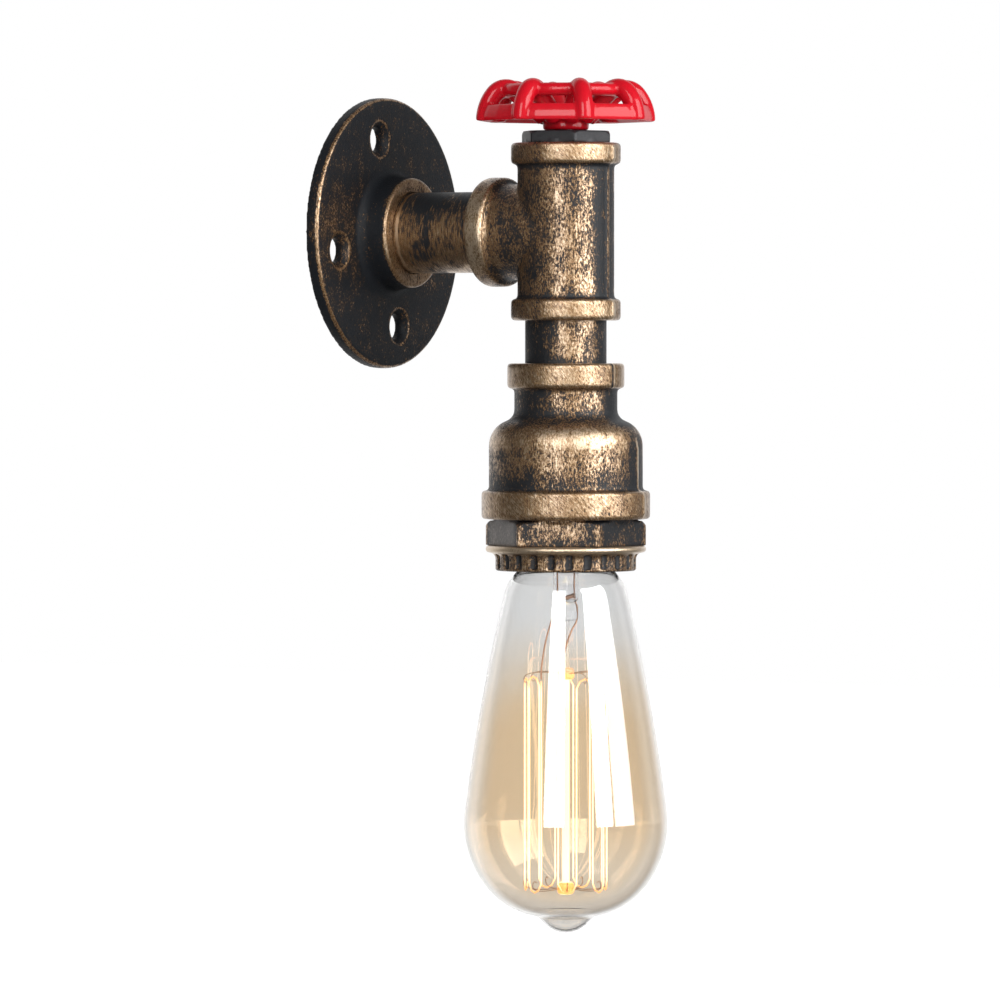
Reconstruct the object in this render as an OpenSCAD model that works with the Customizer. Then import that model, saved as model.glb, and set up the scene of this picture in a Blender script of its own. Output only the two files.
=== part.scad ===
// Pipe wall light: pipe fittings that carry a teardrop bulb, with a valve wheel as its switch.
// Millimetres. The origin is the centre of the flange's back face, on the wall.
// +Z is up, and the arm runs from the wall along -Y.

/* [Pipe] */
// Outside diameter of the pipe nipples and of the plug's thread
pipe_d = 25.6; // [24:0.1:27]
// Wall of the pipe nipples
pipe_wall = 2.6; // [1.8:0.1:3.2]
// How far a pipe goes into a fitting
thread_depth = 10; // [8:0.5:11]
// Radial play in a threaded fit
thread_gap = 0.05; // [0.02:0.01:0.1]
// Room between the end of a pipe and the shoulder in its port
end_gap = 0.5; // [0.3:0.1:1]
// Length of pipe that shows between the flange and the tee
arm_show = 28; // [20:0.1:50]
// Length of pipe that shows between the tee and the reducer
drop_show = 13.4; // [8:0.1:30]

/* [Wall flange] */
// Diameter of the flange
flange_d = 86; // [82:0.5:100]
// Thickness of the flange's plate
flange_t = 4.4; // [3.6:0.1:6]
// Rounding of the plate's front edge
flange_round = 1.3; // [0.6:0.1:1.7]
// Diameter of the hub where it meets the plate
hub_root_d = 36; // [34:0.5:38]
// Diameter of the hub at its end
hub_end_d = 35; // [32:0.5:36]
// Height of the hub above the plate
hub_h = 9.2; // [7.5:0.1:12]
// Fillet between the hub and the plate
hub_fillet = 3; // [1:0.5:4]
// Diameter of the circle that the screw holes lie on
hole_circle_d = 60.5; // [58:0.5:66]
// Diameter of a screw hole
hole_d = 8; // [5:0.1:9]
// Diameter of the countersink
hole_sink_d = 11.5; // [10.5:0.1:13]
// Depth of the countersink
hole_sink_h = 1.6; // [0.8:0.1:2.4]
// Turn of the screw holes about the arm
hole_turn = 11; // [0:1:45]

/* [Tee] */
// Centre of the tee to each end of its run
tee_run = 27.9; // [25:0.1:34]
// Centre of the tee to the end of its branch
tee_branch = 27.9; // [25:0.1:34]
// Diameter of the tee's body
tee_body_d = 30.4; // [30:0.1:33]
// Diameter of the bands at the tee's ports
tee_band_d = 34.5; // [34:0.1:38]
// Height of those bands
tee_band_h = 6.8; // [5:0.1:9]
// Rounding of the edges of all bands
band_round = 1.1; // [0.5:0.1:1.6]
// Diameter of the waterway between the ports
tee_bore_d = 23; // [21:0.1:23.6]
// Width of the casting seams
seam_w = 1.2; // [0.6:0.1:2]
// How far the seams stand proud
seam_proud = 0.35; // [0.1:0.05:0.6]

/* [Reducer] */
// Diameter of the reducer's upper band
red_top_d = 36.8; // [35:0.1:39]
// Height of the upper band
red_top_h = 7.9; // [5:0.1:9]
// Diameter of the neck
red_neck_d = 32.4; // [31:0.1:34]
// Height of the neck
red_neck_h = 6.7; // [5:0.1:12]
// Height of the shoulder from neck to body
red_shoulder_h = 11.3; // [10:0.1:14]
// Share of the shoulder's curve that is hollow
red_hollow_share = 0.31; // [0.2:0.01:0.5]
// Room between the lampholder's cap and the wall of the body
holder_room = 0.8; // [0.6:0.1:1.8]
// Height of the straight body
red_body_h = 14.1; // [12:0.1:20]
// Wall of the body
red_wall = 2.8; // [2:0.1:3]
// Wall of the lower band round the bushing's spigot
red_low_wall = 3.95; // [3:0.05:5.4]
// Height of the lower band
red_low_h = 8.9; // [8:0.1:11]
// Diameter of the throat below the upper port
red_throat_d = 22; // [18:0.5:23]
// Turn of the reducer's seams about its axis
red_turn = 8; // [0:1:90]

/* [Hexagon bushing] */
// How far the hexagon's corners stand out past the spigot
hex_ledge = 2.9; // [2.5:0.1:4.5]
// Height of the hexagon
hex_h = 7.7; // [6:0.1:11]
// Gap that shows between the reducer and the hexagon
hex_gap = 0.6; // [0.2:0.1:1.2]
// Chamfer of the hexagon's corners
hex_chamfer = 1.4; // [0.6:0.1:2]
// Turn of the hexagon about the lamp's axis
hex_turn = 54.5; // [0:0.5:60]
// Wall of the spigot that screws into the reducer
spigot_wall = 2.7; // [2.4:0.1:3.2]
// Length of that spigot
spigot_h = 8.5; // [6:0.1:8.6]

/* [Shade ring] */
// How much narrower the ring's lip is than the hexagon's corners
ring_lip_short = 0.3; // [0:0.1:2]
// Thickness of the lip
ring_lip_h = 2.2; // [1.2:0.1:2.6]
// Wall of the fluted part
ring_wall = 2.5; // [2.2:0.1:3.8]
// Height of the whole ring
ring_h = 7.9; // [7:0.1:12]
// Number of flutes
flute_n = 24; // [16:1:28]
// Radius of a flute
flute_r = 1.5; // [1:0.1:1.8]
// Depth of a flute
flute_depth = 0.9; // [0.4:0.1:1.2]
// Plain rim below the flutes
flute_rim = 0.7; // [0.4:0.1:1.2]

/* [Lampholder] */
// Wall of the core round the screw shell
core_wall = 3.05; // [2.5:0.05:5.5]
// Wall of the threaded skirt
skirt_wall = 2.3; // [1.6:0.1:2.4]
// How far the skirt stops short of the ring's lower end
skirt_short = 0.8; // [0.4:0.1:2]
// How far the shoulder that rests on the bushing, and the cap, stand out past the skirt
shoulder_ledge = 1.1; // [0.9:0.1:1.5]
// Height of that shoulder
shoulder_h = 3; // [2:0.1:4]
// Height of the cap
holder_cap_h = 13.4; // [13:0.1:14]
// Rounding of the cap's top
holder_cap_round = 8; // [7:0.5:9]
// Wall of the cap
holder_cap_wall = 2.4; // [1.6:0.1:2.6]
// Diameter of the wire hole in the cap
wire_hole_d = 10; // [9:0.5:13]
// Thickness of the core's flange
core_flange_h = 4.5; // [4:0.1:5]
// Length of the core below its flange
core_h = 22; // [20:0.5:24]
// Thickness of the core's roof
core_roof = 3.5; // [2.8:0.1:3.9]
// Length of the screw shell
shell_h = 19; // [14:0.5:19.5]
// Thickness of the contact strips and of the screw shell
strip_t = 0.4; // [0.3:0.05:0.5]
// Width of the contact strips
strip_w = 5; // [3:0.1:6]
// Distance of a terminal post from the lamp's axis
post_x = 9; // [8:0.1:10]
// Diameter of a terminal post
post_d = 5.6; // [5:0.1:6]
// Height of a terminal post
post_h = 4.2; // [3.6:0.1:4.4]
// Diameter of a terminal screw's thread
post_screw_d = 2.5; // [2:0.1:3]

/* [Bulb] */
// Largest diameter of the glass
bulb_d = 64.2; // [60:0.1:70]
// Length of the bulb from its contact to its tip
bulb_len = 142; // [134:0.5:156]
// Wall of the glass
glass_t = 0.9; // [0.6:0.1:1.2]
// Radius of the shoulder below the cap
bulb_shoulder_r = 14; // [13.5:0.1:15]
// Outer radius of the glass where its shoulder ends
bulb_waist_r = 19.35; // [18:0.05:21]
// Distance of that place from the cap
bulb_waist_u = 9; // [8:0.1:9.6]
// How far the flank bulges
bulb_flank_bulge = 1; // [0.4:0.1:1.8]
// Distance from the widest place to the tip
bulb_low_h = 34.5; // [33:0.1:38]
// Radius of the sealed tip where it leaves the glass
bulb_tip_r = 9.5; // [8:0.1:10]
// Length of the cap, with its contact
cap_h = 26.2; // [25:0.1:27]
// Diameter over the cap's thread
cap_d = 26.4; // [26:0.05:26.6]
// Pitch of the cap's thread
cap_pitch = 3.63; // [3.4:0.01:3.8]
// Depth of the cap's thread
cap_thread = 0.7; // [0.4:0.05:0.9]
// Radius of the filament cage
cage_r = 12.9; // [11:0.1:15]
// Height of the filament cage
cage_h = 65.5; // [50:0.5:70]
// Distance from the cap to the top of the cage
cage_u = 36.3; // [34:0.1:40]
// Number of upright runs of the filament, an even number
filament_n = 14; // [10:2:18]
// Diameter of the coiled filament
filament_d = 0.5; // [0.3:0.05:0.8]
// Diameter of the glass stem
stem_d = 7.8; // [6:0.1:9]
// Diameter of the glass rod
rod_d = 2.3; // [1.6:0.1:3]
// Diameter of the beads on the rod
bead_d = 5.4; // [4:0.1:7]
// Height of a bead
bead_h = 4; // [3:0.1:5]
// Diameter of the hook wires
hook_d = 0.4; // [0.25:0.05:0.6]

/* [Wheel] */
// Diameter of the wheel over its spokes
wheel_d = 57.8; // [54:0.1:64]
// Height of the wheel from the rim's lower edge to the top of the spokes
wheel_h = 13.4; // [13:0.1:15]
// Height of the rim
rim_h = 5.4; // [3.5:0.1:6]
// Wall of the rim
rim_wall = 3; // [2:0.1:4]
// How far the spokes stand out past the rim's corners
spoke_proud = 1.2; // [0.6:0.1:2]
// Number of spokes
spoke_n = 8; // [6:2:10]
// Width of a spoke
spoke_w = 5.8; // [4:0.1:6.6]
// Thickness of a spoke
spoke_t = 6; // [5:0.1:6.4]
// Radius at which the spokes are highest
spoke_top_r = 19.2; // [18:0.1:20]
// Slope of the spokes down to the hub
spoke_slope = 40; // [38:1:44]
// Width of the ring that links the spokes
link_w = 3.4; // [2:0.1:5]
// Height of that ring
link_h = 2.3; // [1.5:0.1:3]
// How far that ring lies below the top of the spokes
link_drop = 1.7; // [1.2:0.1:2]
// Diameter of the hub
wheel_hub_d = 14.4; // [13:0.1:16]
// Height of the hub
wheel_hub_h = 6.2; // [5:0.1:6.6]
// How far the hub reaches below the rim
wheel_hub_drop = 2.5; // [1:0.1:3]
// Turn of the wheel about its axis
wheel_turn = 43.3; // [0:0.1:45]

/* [Plug and switch] */
// Width of the plug's hexagon across its corners
plug_hex_d = 29.3; // [28:0.1:32]
// Height of that hexagon
plug_head_h = 3.7; // [3:0.1:5]
// Turn of that hexagon about the lamp's axis
plug_turn = 42.2; // [0:0.1:60]
// Thickness of the plug's roof
plug_roof = 5; // [4.5:0.1:5.4]
// Diameter of the hollow in the plug
plug_bore_d = 21; // [20.4:0.1:21.4]
// Room between the plug and the wheel's hub
wheel_gap = 0.3; // [0.2:0.1:0.6]
// Diameter of the switch's threaded bush
bush_d = 10; // [9:0.1:10.5]
// Diameter of the switch's shaft
shaft_d = 6; // [5:0.1:6.4]
// Diameter of the shaft's upper end, which has the flat
shaft_end_d = 5; // [4.4:0.1:5.6]
// Depth of that flat
shaft_flat = 0.6; // [0.3:0.1:0.8]
// Play of the shaft in its bush
shaft_gap = 0.05; // [0.03:0.01:0.1]
// Diameter of the switch's housing
switch_d = 17; // [16:0.1:17.6]
// Depth of the housing
switch_h = 14; // [12:0.5:15]
// Wall of the housing
switch_wall = 1.3; // [1:0.1:1.6]
// Thickness of the switch's cover
cover_h = 2; // [1.5:0.1:2.5]
// Height of the lock nut
nut_h = 3; // [2:0.1:3.4]
// Width of the lock nut across its corners
nut_d = 15; // [14:0.1:16]
// Thickness of the earth lug
lug_t = 0.6; // [0.4:0.1:0.8]
// Width of the earth lug's tail
lug_w = 4; // [3:0.1:5]
// Distance of a switch contact from the axis
contact_x = 4.6; // [4.2:0.1:5]
// Diameter of a switch contact's head
contact_d = 3.6; // [3:0.1:4]
// Length of a switch contact's tail below the housing
contact_tail = 3; // [2:0.1:4]
// Thickness of the contact bridge
bridge_t = 0.8; // [0.5:0.1:1]
// Diameter of the wheel screw's head
screw_head_d = 6; // [5:0.1:6.4]
// Height of the wheel screw's head
screw_head_h = 1.5; // [1:0.1:1.6]
// Diameter of the wheel screw's thread
screw_d = 3; // [2.5:0.1:3.2]
// Length of the wheel screw's thread
screw_len = 5; // [4:0.1:6]
// Diameter of the wheel's washer
washer_d = 8; // [7:0.1:9]
// Thickness of the wheel's washer
washer_t = 0.7; // [0.5:0.1:0.8]

/* [Wires] */
// Diameter of an insulated wire
wire_d = 2.2; // [1.6:0.1:2.4]
// Distance of a wire's end from its terminal
wire_gap = 0.2; // [0.1:0.05:0.3]

/* [Hidden] */
$fn = 96;
cut = 1;
play = 0.3;
seat_play = 0.1;
shell_play = 0.2;
shell_drop = 3.5;
core_ledge = 0.5;
step_h = 1.6;
hub_round = 0.8;
ring_chamfer = 0.4;
flute_turn = 3.5;
plug_chamfer = 1;
slot_w = 0.7;

iron = "#3a3029";
bronze = "#7a5c3a";
dark_steel = "#3c3f44";
red = "#d3202c";
brass = "#c9a54c";
phenolic = "#2a2522";
porcelain = "#ece7da";
amber = "#d9a45a";
clear = "#dfe6e8";
tungsten = "#ffdf8a";
steel = "#9aa0a6";

pipe_in_d = pipe_d - 2 * pipe_wall;
port_d = pipe_d + 2 * thread_gap;
port_h = thread_depth + end_gap;
hub_top = flange_t + hub_h;
reach = hub_top + arm_show + tee_branch;

// Diameters of the pieces that fit one round the other, from the bulb's cap outwards
shell_in_d = cap_d + 2 * shell_play;
shell_out_d = shell_in_d + 2 * strip_t;
core_d = shell_out_d + 2 * (thread_gap + core_wall);
skirt_in_d = core_d + 2 * play;
core_flange_d = skirt_in_d + 2 * core_ledge;
skirt_d = skirt_in_d + 2 * skirt_wall;
shoulder_d = skirt_d + 2 * shoulder_ledge;
ring_d = skirt_d + 2 * (seat_play + ring_wall);
spigot_d = skirt_d + 2 * (play + spigot_wall);
hex_d = spigot_d + 2 * hex_ledge;
red_body_d = shoulder_d + 2 * (holder_room + red_wall);
red_low_d = spigot_d + 2 * (thread_gap + red_low_wall);

// Levels along the lamp's axis, from the tee downwards
red_top = -tee_run - drop_show;
neck_low = red_top - red_top_h - red_neck_h;
body_top = neck_low - red_shoulder_h;
red_low = body_top - red_body_h - red_low_h;
hex_top = red_low - hex_gap;
hex_low = hex_top - hex_h;
ring_low = hex_low - ring_h;
seat_z = red_low + spigot_h;
skirt_top = seat_z + shoulder_h;
core_top = skirt_top + core_flange_h;
roof_z = core_top - core_roof;
shell_top = roof_z - strip_t - shell_drop;
contact_z = roof_z - strip_t - play;
cap_rim = contact_z - cap_h;
bulb_tip_u = bulb_len - cap_h;

// Levels of the plug, the switch and the wheel, upwards from the tee
plug_top = tee_run + plug_head_h;
plug_in = plug_top - plug_roof;
nut_top = plug_in - lug_t;
cover_top = nut_top - nut_h - play;
housing_top = cover_top - cover_h;
housing_low = housing_top - switch_h;
floor_h = 1.6;
contact_head_h = 1.2;
contact_top = housing_low + floor_h + contact_head_h;
bridge_low = contact_top + seat_play;
rotor_low = bridge_low + bridge_t;
hub_low = plug_top + wheel_gap;
rim_low = hub_low + wheel_hub_drop;
wheel_top = rim_low + wheel_h;
hub_high = hub_low + wheel_hub_h;
shaft_step = hub_low + step_h;
shaft_high = hub_high - play;

// Points of an arc about c with radius r, from angle a to angle b
function arc(c, r, a, b, n = 8) =
    [for (i = [0:n]) c + r * [cos(a + (b - a) * i / n), sin(a + (b - a) * i / n)]];

// Points of an oval about c that is a wide and b high, from angle s to angle t
function oval(c, a, b, s, t, n) =
    [for (i = [0:n]) c + [a * cos(s + (t - s) * i / n), b * sin(s + (t - s) * i / n)]];

// Points from p to q that bow out to the right by s, without p itself
function bowed(p, q, s, n = 12) =
    let (along = q - p, side = [along.y, -along.x] / norm(along))
    [for (i = [1:n]) p + along * i / n + side * 4 * s * (i / n) * (1 - i / n)];

// Downward S curve from [r0, z] to radius r1 over height h: a hollow arc, then a round one
function ogee(r0, r1, z, h, share) =
    let (
        turn = 2 * atan((r1 - r0) / h),
        both = h / sin(turn),
        hollow = both * share,
        full = both - hollow
    )
    concat(
        arc([r0 + hollow, z], hollow, 180, 180 + turn),
        arc([r1 - full, z - h], full, turn, 0)
    );

// Smooth curve through the points p, with n steps between two of them
function spline(p, n = 4) =
    let (last = len(p) - 1)
    concat(
        [for (i = [0:last - 1]) for (k = [0:n - 1])
            let (
                s = k / n,
                a = p[max(i - 1, 0)],
                b = p[i],
                c = p[i + 1],
                d = p[min(i + 2, last)]
            )
            b + s * (c - a) / 2 + s * s * (a - 2.5 * b + 2 * c - d / 2)
                + s * s * s * (1.5 * b - a / 2 - 1.5 * c + d / 2)],
        [p[last]]
    );

function unit(v) = v / norm(v);
function tangents(p) =
    let (last = len(p) - 1)
    [for (i = [0:last]) unit(p[min(i + 1, last)] - p[max(i - 1, 0)])];
function squared(v, t) = unit(v - (v * t) * t);
function carried(t, v, i = 0) =
    i == len(t) ? [] : let (m = squared(v, t[i])) concat([m], carried(t, m, i + 1));

// Round tube of diameter d along the points of path
module tube(path, d, sides = 8) {
    t = tangents(path);
    n = carried(t, abs(t[0].z) < 0.9 ? [0, 0, 1] : [1, 0, 0]);
    last = len(path) - 1;
    points = [for (i = [0:last]) for (k = [0:sides - 1])
        path[i] + d / 2 * (cos(360 * k / sides) * n[i] + sin(360 * k / sides) * cross(t[i], n[i]))];
    walls = [for (i = [0:last - 1]) for (k = [0:sides - 1])
        let (a = i * sides + k, b = i * sides + (k + 1) % sides)
        each [[a, b + sides, b], [a, a + sides, b + sides]]];
    near = [for (k = [1:sides - 2]) [0, k, k + 1]];
    far = [for (k = [1:sides - 2]) [last * sides, last * sides + k + 1, last * sides + k]];
    polyhedron(points, concat(near, walls, far));
}

// Disc with rounded edges
module disc(d, h, round) {
    rotate_extrude()
        polygon(concat(
            [[0, 0]],
            arc([d / 2 - round, round], round, -90, 0),
            arc([d / 2 - round, h - round], round, 0, 90),
            [[0, h]]
        ));
}

module ring(d, bore, h) {
    difference() {
        cylinder(d = d, h = h);
        translate([0, 0, -cut]) cylinder(d = bore, h = h + 2 * cut);
    }
}

// Hexagon whose upper corners are cut back
module chamfered_hexagon(d, h, chamfer) {
    intersection() {
        cylinder(d = d, h = h, $fn = 6);
        rotate_extrude()
            polygon([[0, 0], [d / 2, 0], [d / 2, h - chamfer], [d / 2 - chamfer, h], [0, h]]);
    }
}

module on_lamp_axis() {
    translate([0, -reach, 0]) children();
}

module towards_wall() {
    rotate([-90, 0, 0]) children();
}

module from_wall() {
    rotate([90, 0, 0]) children();
}

module wall_flange() {
    color(iron) from_wall() difference() {
        rotate_extrude()
            polygon(concat(
                [[0, 0], [flange_d / 2, 0]],
                arc([flange_d / 2 - flange_round, flange_t - flange_round], flange_round, 0, 90),
                arc([hub_root_d / 2 + hub_fillet, flange_t + hub_fillet], hub_fillet, 270, 180),
                arc([hub_end_d / 2 - hub_round, hub_top - hub_round], hub_round, 0, 90, 4),
                [[0, hub_top]]
            ));
        translate([0, 0, -cut]) cylinder(d = port_d, h = hub_top + 2 * cut);
        for (k = [0:3])
            rotate([0, 0, hole_turn + 90 * k]) translate([hole_circle_d / 2, 0, 0]) screw_hole();
    }
}

module screw_hole() {
    translate([0, 0, -cut]) cylinder(d = hole_d, h = flange_t + 2 * cut);
    translate([0, 0, flange_t - hole_sink_h])
        cylinder(d1 = hole_d, d2 = hole_sink_d, h = hole_sink_h);
    translate([0, 0, flange_t]) cylinder(d = hole_sink_d, h = cut);
}

module arm_nipple() {
    color(bronze) from_wall() translate([0, 0, hub_top - thread_depth])
        ring(pipe_d, pipe_in_d, arm_show + 2 * thread_depth);
}

module tee() {
    color(bronze) on_lamp_axis() difference() {
        union() {
            translate([0, 0, -tee_run + band_round])
                cylinder(d = tee_body_d, h = 2 * (tee_run - band_round));
            towards_wall() cylinder(d = tee_body_d, h = tee_branch - band_round);
            translate([0, 0, tee_run - tee_band_h]) disc(tee_band_d, tee_band_h, band_round);
            translate([0, 0, -tee_run]) disc(tee_band_d, tee_band_h, band_round);
            towards_wall() translate([0, 0, tee_branch - tee_band_h])
                disc(tee_band_d, tee_band_h, band_round);
            tee_seams();
        }
        cylinder(d = tee_bore_d, h = 2 * (tee_run + cut), center = true);
        towards_wall() cylinder(d = tee_bore_d, h = tee_branch + cut);
        translate([0, 0, tee_run - port_h]) cylinder(d = port_d, h = port_h + cut);
        translate([0, 0, -tee_run - cut]) cylinder(d = port_d, h = port_h + cut);
        towards_wall() translate([0, 0, tee_branch - port_h]) cylinder(d = port_d, h = port_h + cut);
    }
}

module tee_seams() {
    body_h = 2 * (tee_run - tee_band_h);
    translate([-seam_w / 2, -tee_body_d / 2 - seam_proud, -body_h / 2])
        cube([seam_w, tee_body_d / 2, body_h]);
    for (side = [0, 1]) mirror([0, 0, side])
        translate([-seam_w / 2, -tee_band_d / 2 - seam_proud, tee_run - tee_band_h + band_round])
            cube([seam_w, tee_band_d / 2, tee_band_h - 2 * band_round]);
}

module drop_nipple() {
    color(bronze) on_lamp_axis() translate([0, 0, red_top - thread_depth])
        ring(pipe_d, pipe_in_d, drop_show + 2 * thread_depth);
}

module reducer() {
    in_r = red_body_d / 2 - red_wall;
    port_top = red_low + spigot_h + seat_play;
    roof_t = 1;
    in_top = neck_low - roof_t;
    color(bronze) on_lamp_axis() difference() {
        union() {
            rotate_extrude()
                polygon(concat(
                    [[0, red_top - band_round], [red_neck_d / 2, red_top - band_round]],
                    ogee(red_neck_d / 2, red_body_d / 2, neck_low, red_shoulder_h, red_hollow_share),
                    [[red_body_d / 2, red_low + band_round], [0, red_low + band_round]]
                ));
            translate([0, 0, red_top - red_top_h]) disc(red_top_d, red_top_h, band_round);
            translate([0, 0, red_low]) disc(red_low_d, red_low_h, band_round);
            rotate([0, 0, red_turn]) reducer_seams();
        }
        translate([0, 0, red_top - port_h]) cylinder(d = port_d, h = port_h + cut);
        rotate_extrude()
            polygon(concat(
                [[0, red_top], [red_throat_d / 2, red_top]],
                ogee(red_throat_d / 2, in_r, in_top, red_shoulder_h, red_hollow_share),
                [[in_r, red_low - cut], [0, red_low - cut]]
            ));
        translate([0, 0, red_low - cut])
            cylinder(d = spigot_d + 2 * thread_gap, h = port_top - red_low + cut);
    }
}

module reducer_seams() {
    seam_end = 0.6;
    band_end = band_round + seam_end;
    for (side = [0, 1]) mirror([0, side, 0]) {
        translate([-seam_w / 2, -red_body_d / 2 - seam_proud, red_low + red_low_h / 2])
            cube([seam_w, red_wall, red_body_h + red_low_h / 2 - seam_end]);
        translate([-seam_w / 2, -red_low_d / 2 - seam_proud, red_low + band_end])
            cube([seam_w, red_wall, red_low_h - 2 * band_end]);
    }
}

module hex_bushing() {
    color(iron) on_lamp_axis() difference() {
        union() {
            translate([0, 0, hex_low]) rotate([0, 0, hex_turn])
                chamfered_hexagon(hex_d, hex_h, hex_chamfer);
            translate([0, 0, hex_top - seat_play])
                cylinder(d = spigot_d, h = seat_z - hex_top + seat_play);
        }
        translate([0, 0, hex_low - cut])
            cylinder(d = skirt_d + 2 * play, h = seat_z - hex_low + 2 * cut);
    }
}

module shade_ring() {
    ring_lip_d = hex_d - ring_lip_short;
    lip_round = ring_lip_h / 2;
    hollow = (ring_lip_d - ring_d) / 2 - lip_round;
    flute_top = hex_low - ring_lip_h - flute_rim / 2;
    color(bronze) on_lamp_axis() difference() {
        rotate_extrude()
            polygon(concat(
                [[0, ring_low]],
                [[ring_d / 2 - ring_chamfer, ring_low], [ring_d / 2, ring_low + ring_chamfer]],
                arc([ring_d / 2 + hollow, hex_low - ring_lip_h - hollow], hollow, 180, 90, 6),
                arc([ring_lip_d / 2 - lip_round, hex_low - lip_round], lip_round, -90, 90, 8),
                [[0, hex_low]]
            ));
        translate([0, 0, ring_low - cut])
            cylinder(d = skirt_d + 2 * seat_play, h = ring_h + 2 * cut);
        for (k = [0:flute_n - 1])
            rotate([0, 0, flute_turn + k * 360 / flute_n])
                translate([ring_d / 2 - flute_depth + flute_r, 0, ring_low + flute_rim])
                    cylinder(r = flute_r, h = flute_top - ring_low - flute_rim);
    }
}

module holder_skirt() {
    skirt_low = ring_low + skirt_short;
    color(phenolic) on_lamp_axis() difference() {
        union() {
            translate([0, 0, skirt_low]) cylinder(d = skirt_d, h = skirt_top - skirt_low);
            translate([0, 0, seat_z]) cylinder(d = shoulder_d, h = shoulder_h);
        }
        translate([0, 0, skirt_low - cut])
            cylinder(d = skirt_in_d, h = skirt_top - skirt_low + 2 * cut);
    }
}

module holder_cap() {
    top = skirt_top + holder_cap_h;
    in_r = shoulder_d / 2 - holder_cap_wall;
    in_round = holder_cap_round - holder_cap_wall;
    color(phenolic) on_lamp_axis() difference() {
        rotate_extrude()
            polygon(concat(
                [[0, skirt_top], [shoulder_d / 2, skirt_top]],
                arc([shoulder_d / 2 - holder_cap_round, top - holder_cap_round], holder_cap_round, 0, 90),
                [[0, top]]
            ));
        rotate_extrude()
            polygon(concat(
                [[0, skirt_top - cut], [in_r, skirt_top - cut]],
                arc([in_r - in_round, top - holder_cap_wall - in_round], in_round, 0, 90),
                [[0, top - holder_cap_wall]]
            ));
        translate([0, 0, top - holder_cap_wall - cut])
            cylinder(d = wire_hole_d, h = holder_cap_wall + 2 * cut);
    }
}

module holder_core() {
    color(porcelain) on_lamp_axis() difference() {
        union() {
            translate([0, 0, skirt_top]) cylinder(d = core_flange_d, h = core_flange_h);
            translate([0, 0, skirt_top - core_h]) cylinder(d = core_d, h = core_h + cut);
        }
        translate([0, 0, skirt_top - core_h - cut])
            cylinder(d = shell_out_d + 2 * thread_gap, h = roof_z - skirt_top + core_h + cut);
        for (side = [-1, 1])
            translate([side * post_x, 0, roof_z - cut])
                cylinder(d = post_d / 2 + 2 * seat_play, h = core_roof + 2 * cut);
    }
}

module screw_shell() {
    color(brass) on_lamp_axis() difference() {
        union() {
            translate([0, 0, shell_top - shell_h]) cylinder(d = shell_out_d, h = shell_h);
            shell_tab();
        }
        translate([0, 0, shell_top - shell_h - cut]) cylinder(d = shell_in_d, h = shell_h + cut);
    }
}

// Tab from the shell up to the roof, then in to the neutral post
module shell_tab() {
    lap = 0.5;
    inner = post_x - post_d / 4 - lap;
    intersection() {
        translate([-shell_out_d / 2, -strip_w / 2, shell_top - strip_t])
            cube([strip_t + lap, strip_w, roof_z - shell_top + strip_t]);
        translate([0, 0, shell_top - shell_h]) cylinder(d = shell_out_d, h = roof_z - shell_top + shell_h);
    }
    intersection() {
        translate([-shell_out_d / 2, -strip_w / 2, roof_z - strip_t])
            cube([shell_out_d / 2 - inner, strip_w, strip_t]);
        translate([0, 0, roof_z - strip_t]) cylinder(d = shell_out_d, h = strip_t);
    }
}

module centre_contact() {
    color(brass) on_lamp_axis() translate([-strip_w / 2, -strip_w / 2, roof_z - strip_t])
        cube([post_x + strip_w, strip_w, strip_t]);
}

module terminal_posts() {
    color(brass) on_lamp_axis() for (side = [-1, 1])
        translate([side * post_x, 0, 0]) difference() {
            union() {
                translate([0, 0, core_top]) cylinder(d = post_d, h = post_h);
                translate([0, 0, roof_z]) cylinder(d = post_d / 2, h = core_roof + cut);
            }
            translate([0, 0, core_top + post_h / 2])
                cylinder(d = post_screw_d + 2 * thread_gap, h = post_h);
        }
}

module terminal_screws() {
    head_d = 1.9 * post_screw_d;
    head_h = 0.6 * post_screw_d;
    color(steel) on_lamp_axis() for (side = [-1, 1])
        translate([side * post_x, 0, core_top + post_h]) difference() {
            union() {
                cylinder(d = head_d, h = head_h);
                translate([0, 0, seat_play - post_h / 2]) cylinder(d = post_screw_d, h = post_h / 2);
            }
            translate([-head_d, -slot_w / 2, head_h / 2]) cube([2 * head_d, slot_w, head_h]);
        }
}

module hex_plug() {
    color(dark_steel) on_lamp_axis() difference() {
        union() {
            translate([0, 0, tee_run]) rotate([0, 0, plug_turn])
                chamfered_hexagon(plug_hex_d, plug_head_h, plug_chamfer);
            translate([0, 0, tee_run - thread_depth]) cylinder(d = pipe_d, h = thread_depth + cut);
        }
        translate([0, 0, tee_run - thread_depth - cut])
            cylinder(d = plug_bore_d, h = plug_in - tee_run + thread_depth + cut);
        translate([0, 0, plug_in - cut])
            cylinder(d = bush_d + 2 * thread_gap, h = plug_roof + 2 * cut);
    }
}

module switch_bush() {
    color(steel) on_lamp_axis() difference() {
        union() {
            translate([0, 0, housing_top]) cylinder(d = switch_d, h = cover_h);
            translate([0, 0, housing_top]) cylinder(d = bush_d, h = plug_top - housing_top);
        }
        translate([0, 0, housing_top - cut])
            cylinder(d = shaft_d + 2 * shaft_gap, h = plug_top - housing_top + 2 * cut);
    }
}

module switch_housing() {
    color(phenolic) on_lamp_axis() difference() {
        translate([0, 0, housing_low]) cylinder(d = switch_d, h = switch_h);
        translate([0, 0, housing_low + floor_h])
            cylinder(d = switch_d - 2 * switch_wall, h = switch_h);
        for (side = [-1, 1])
            translate([side * contact_x, 0, housing_low - cut])
                cylinder(d = contact_d / 2 + 2 * thread_gap, h = floor_h + 2 * cut);
    }
}

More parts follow.
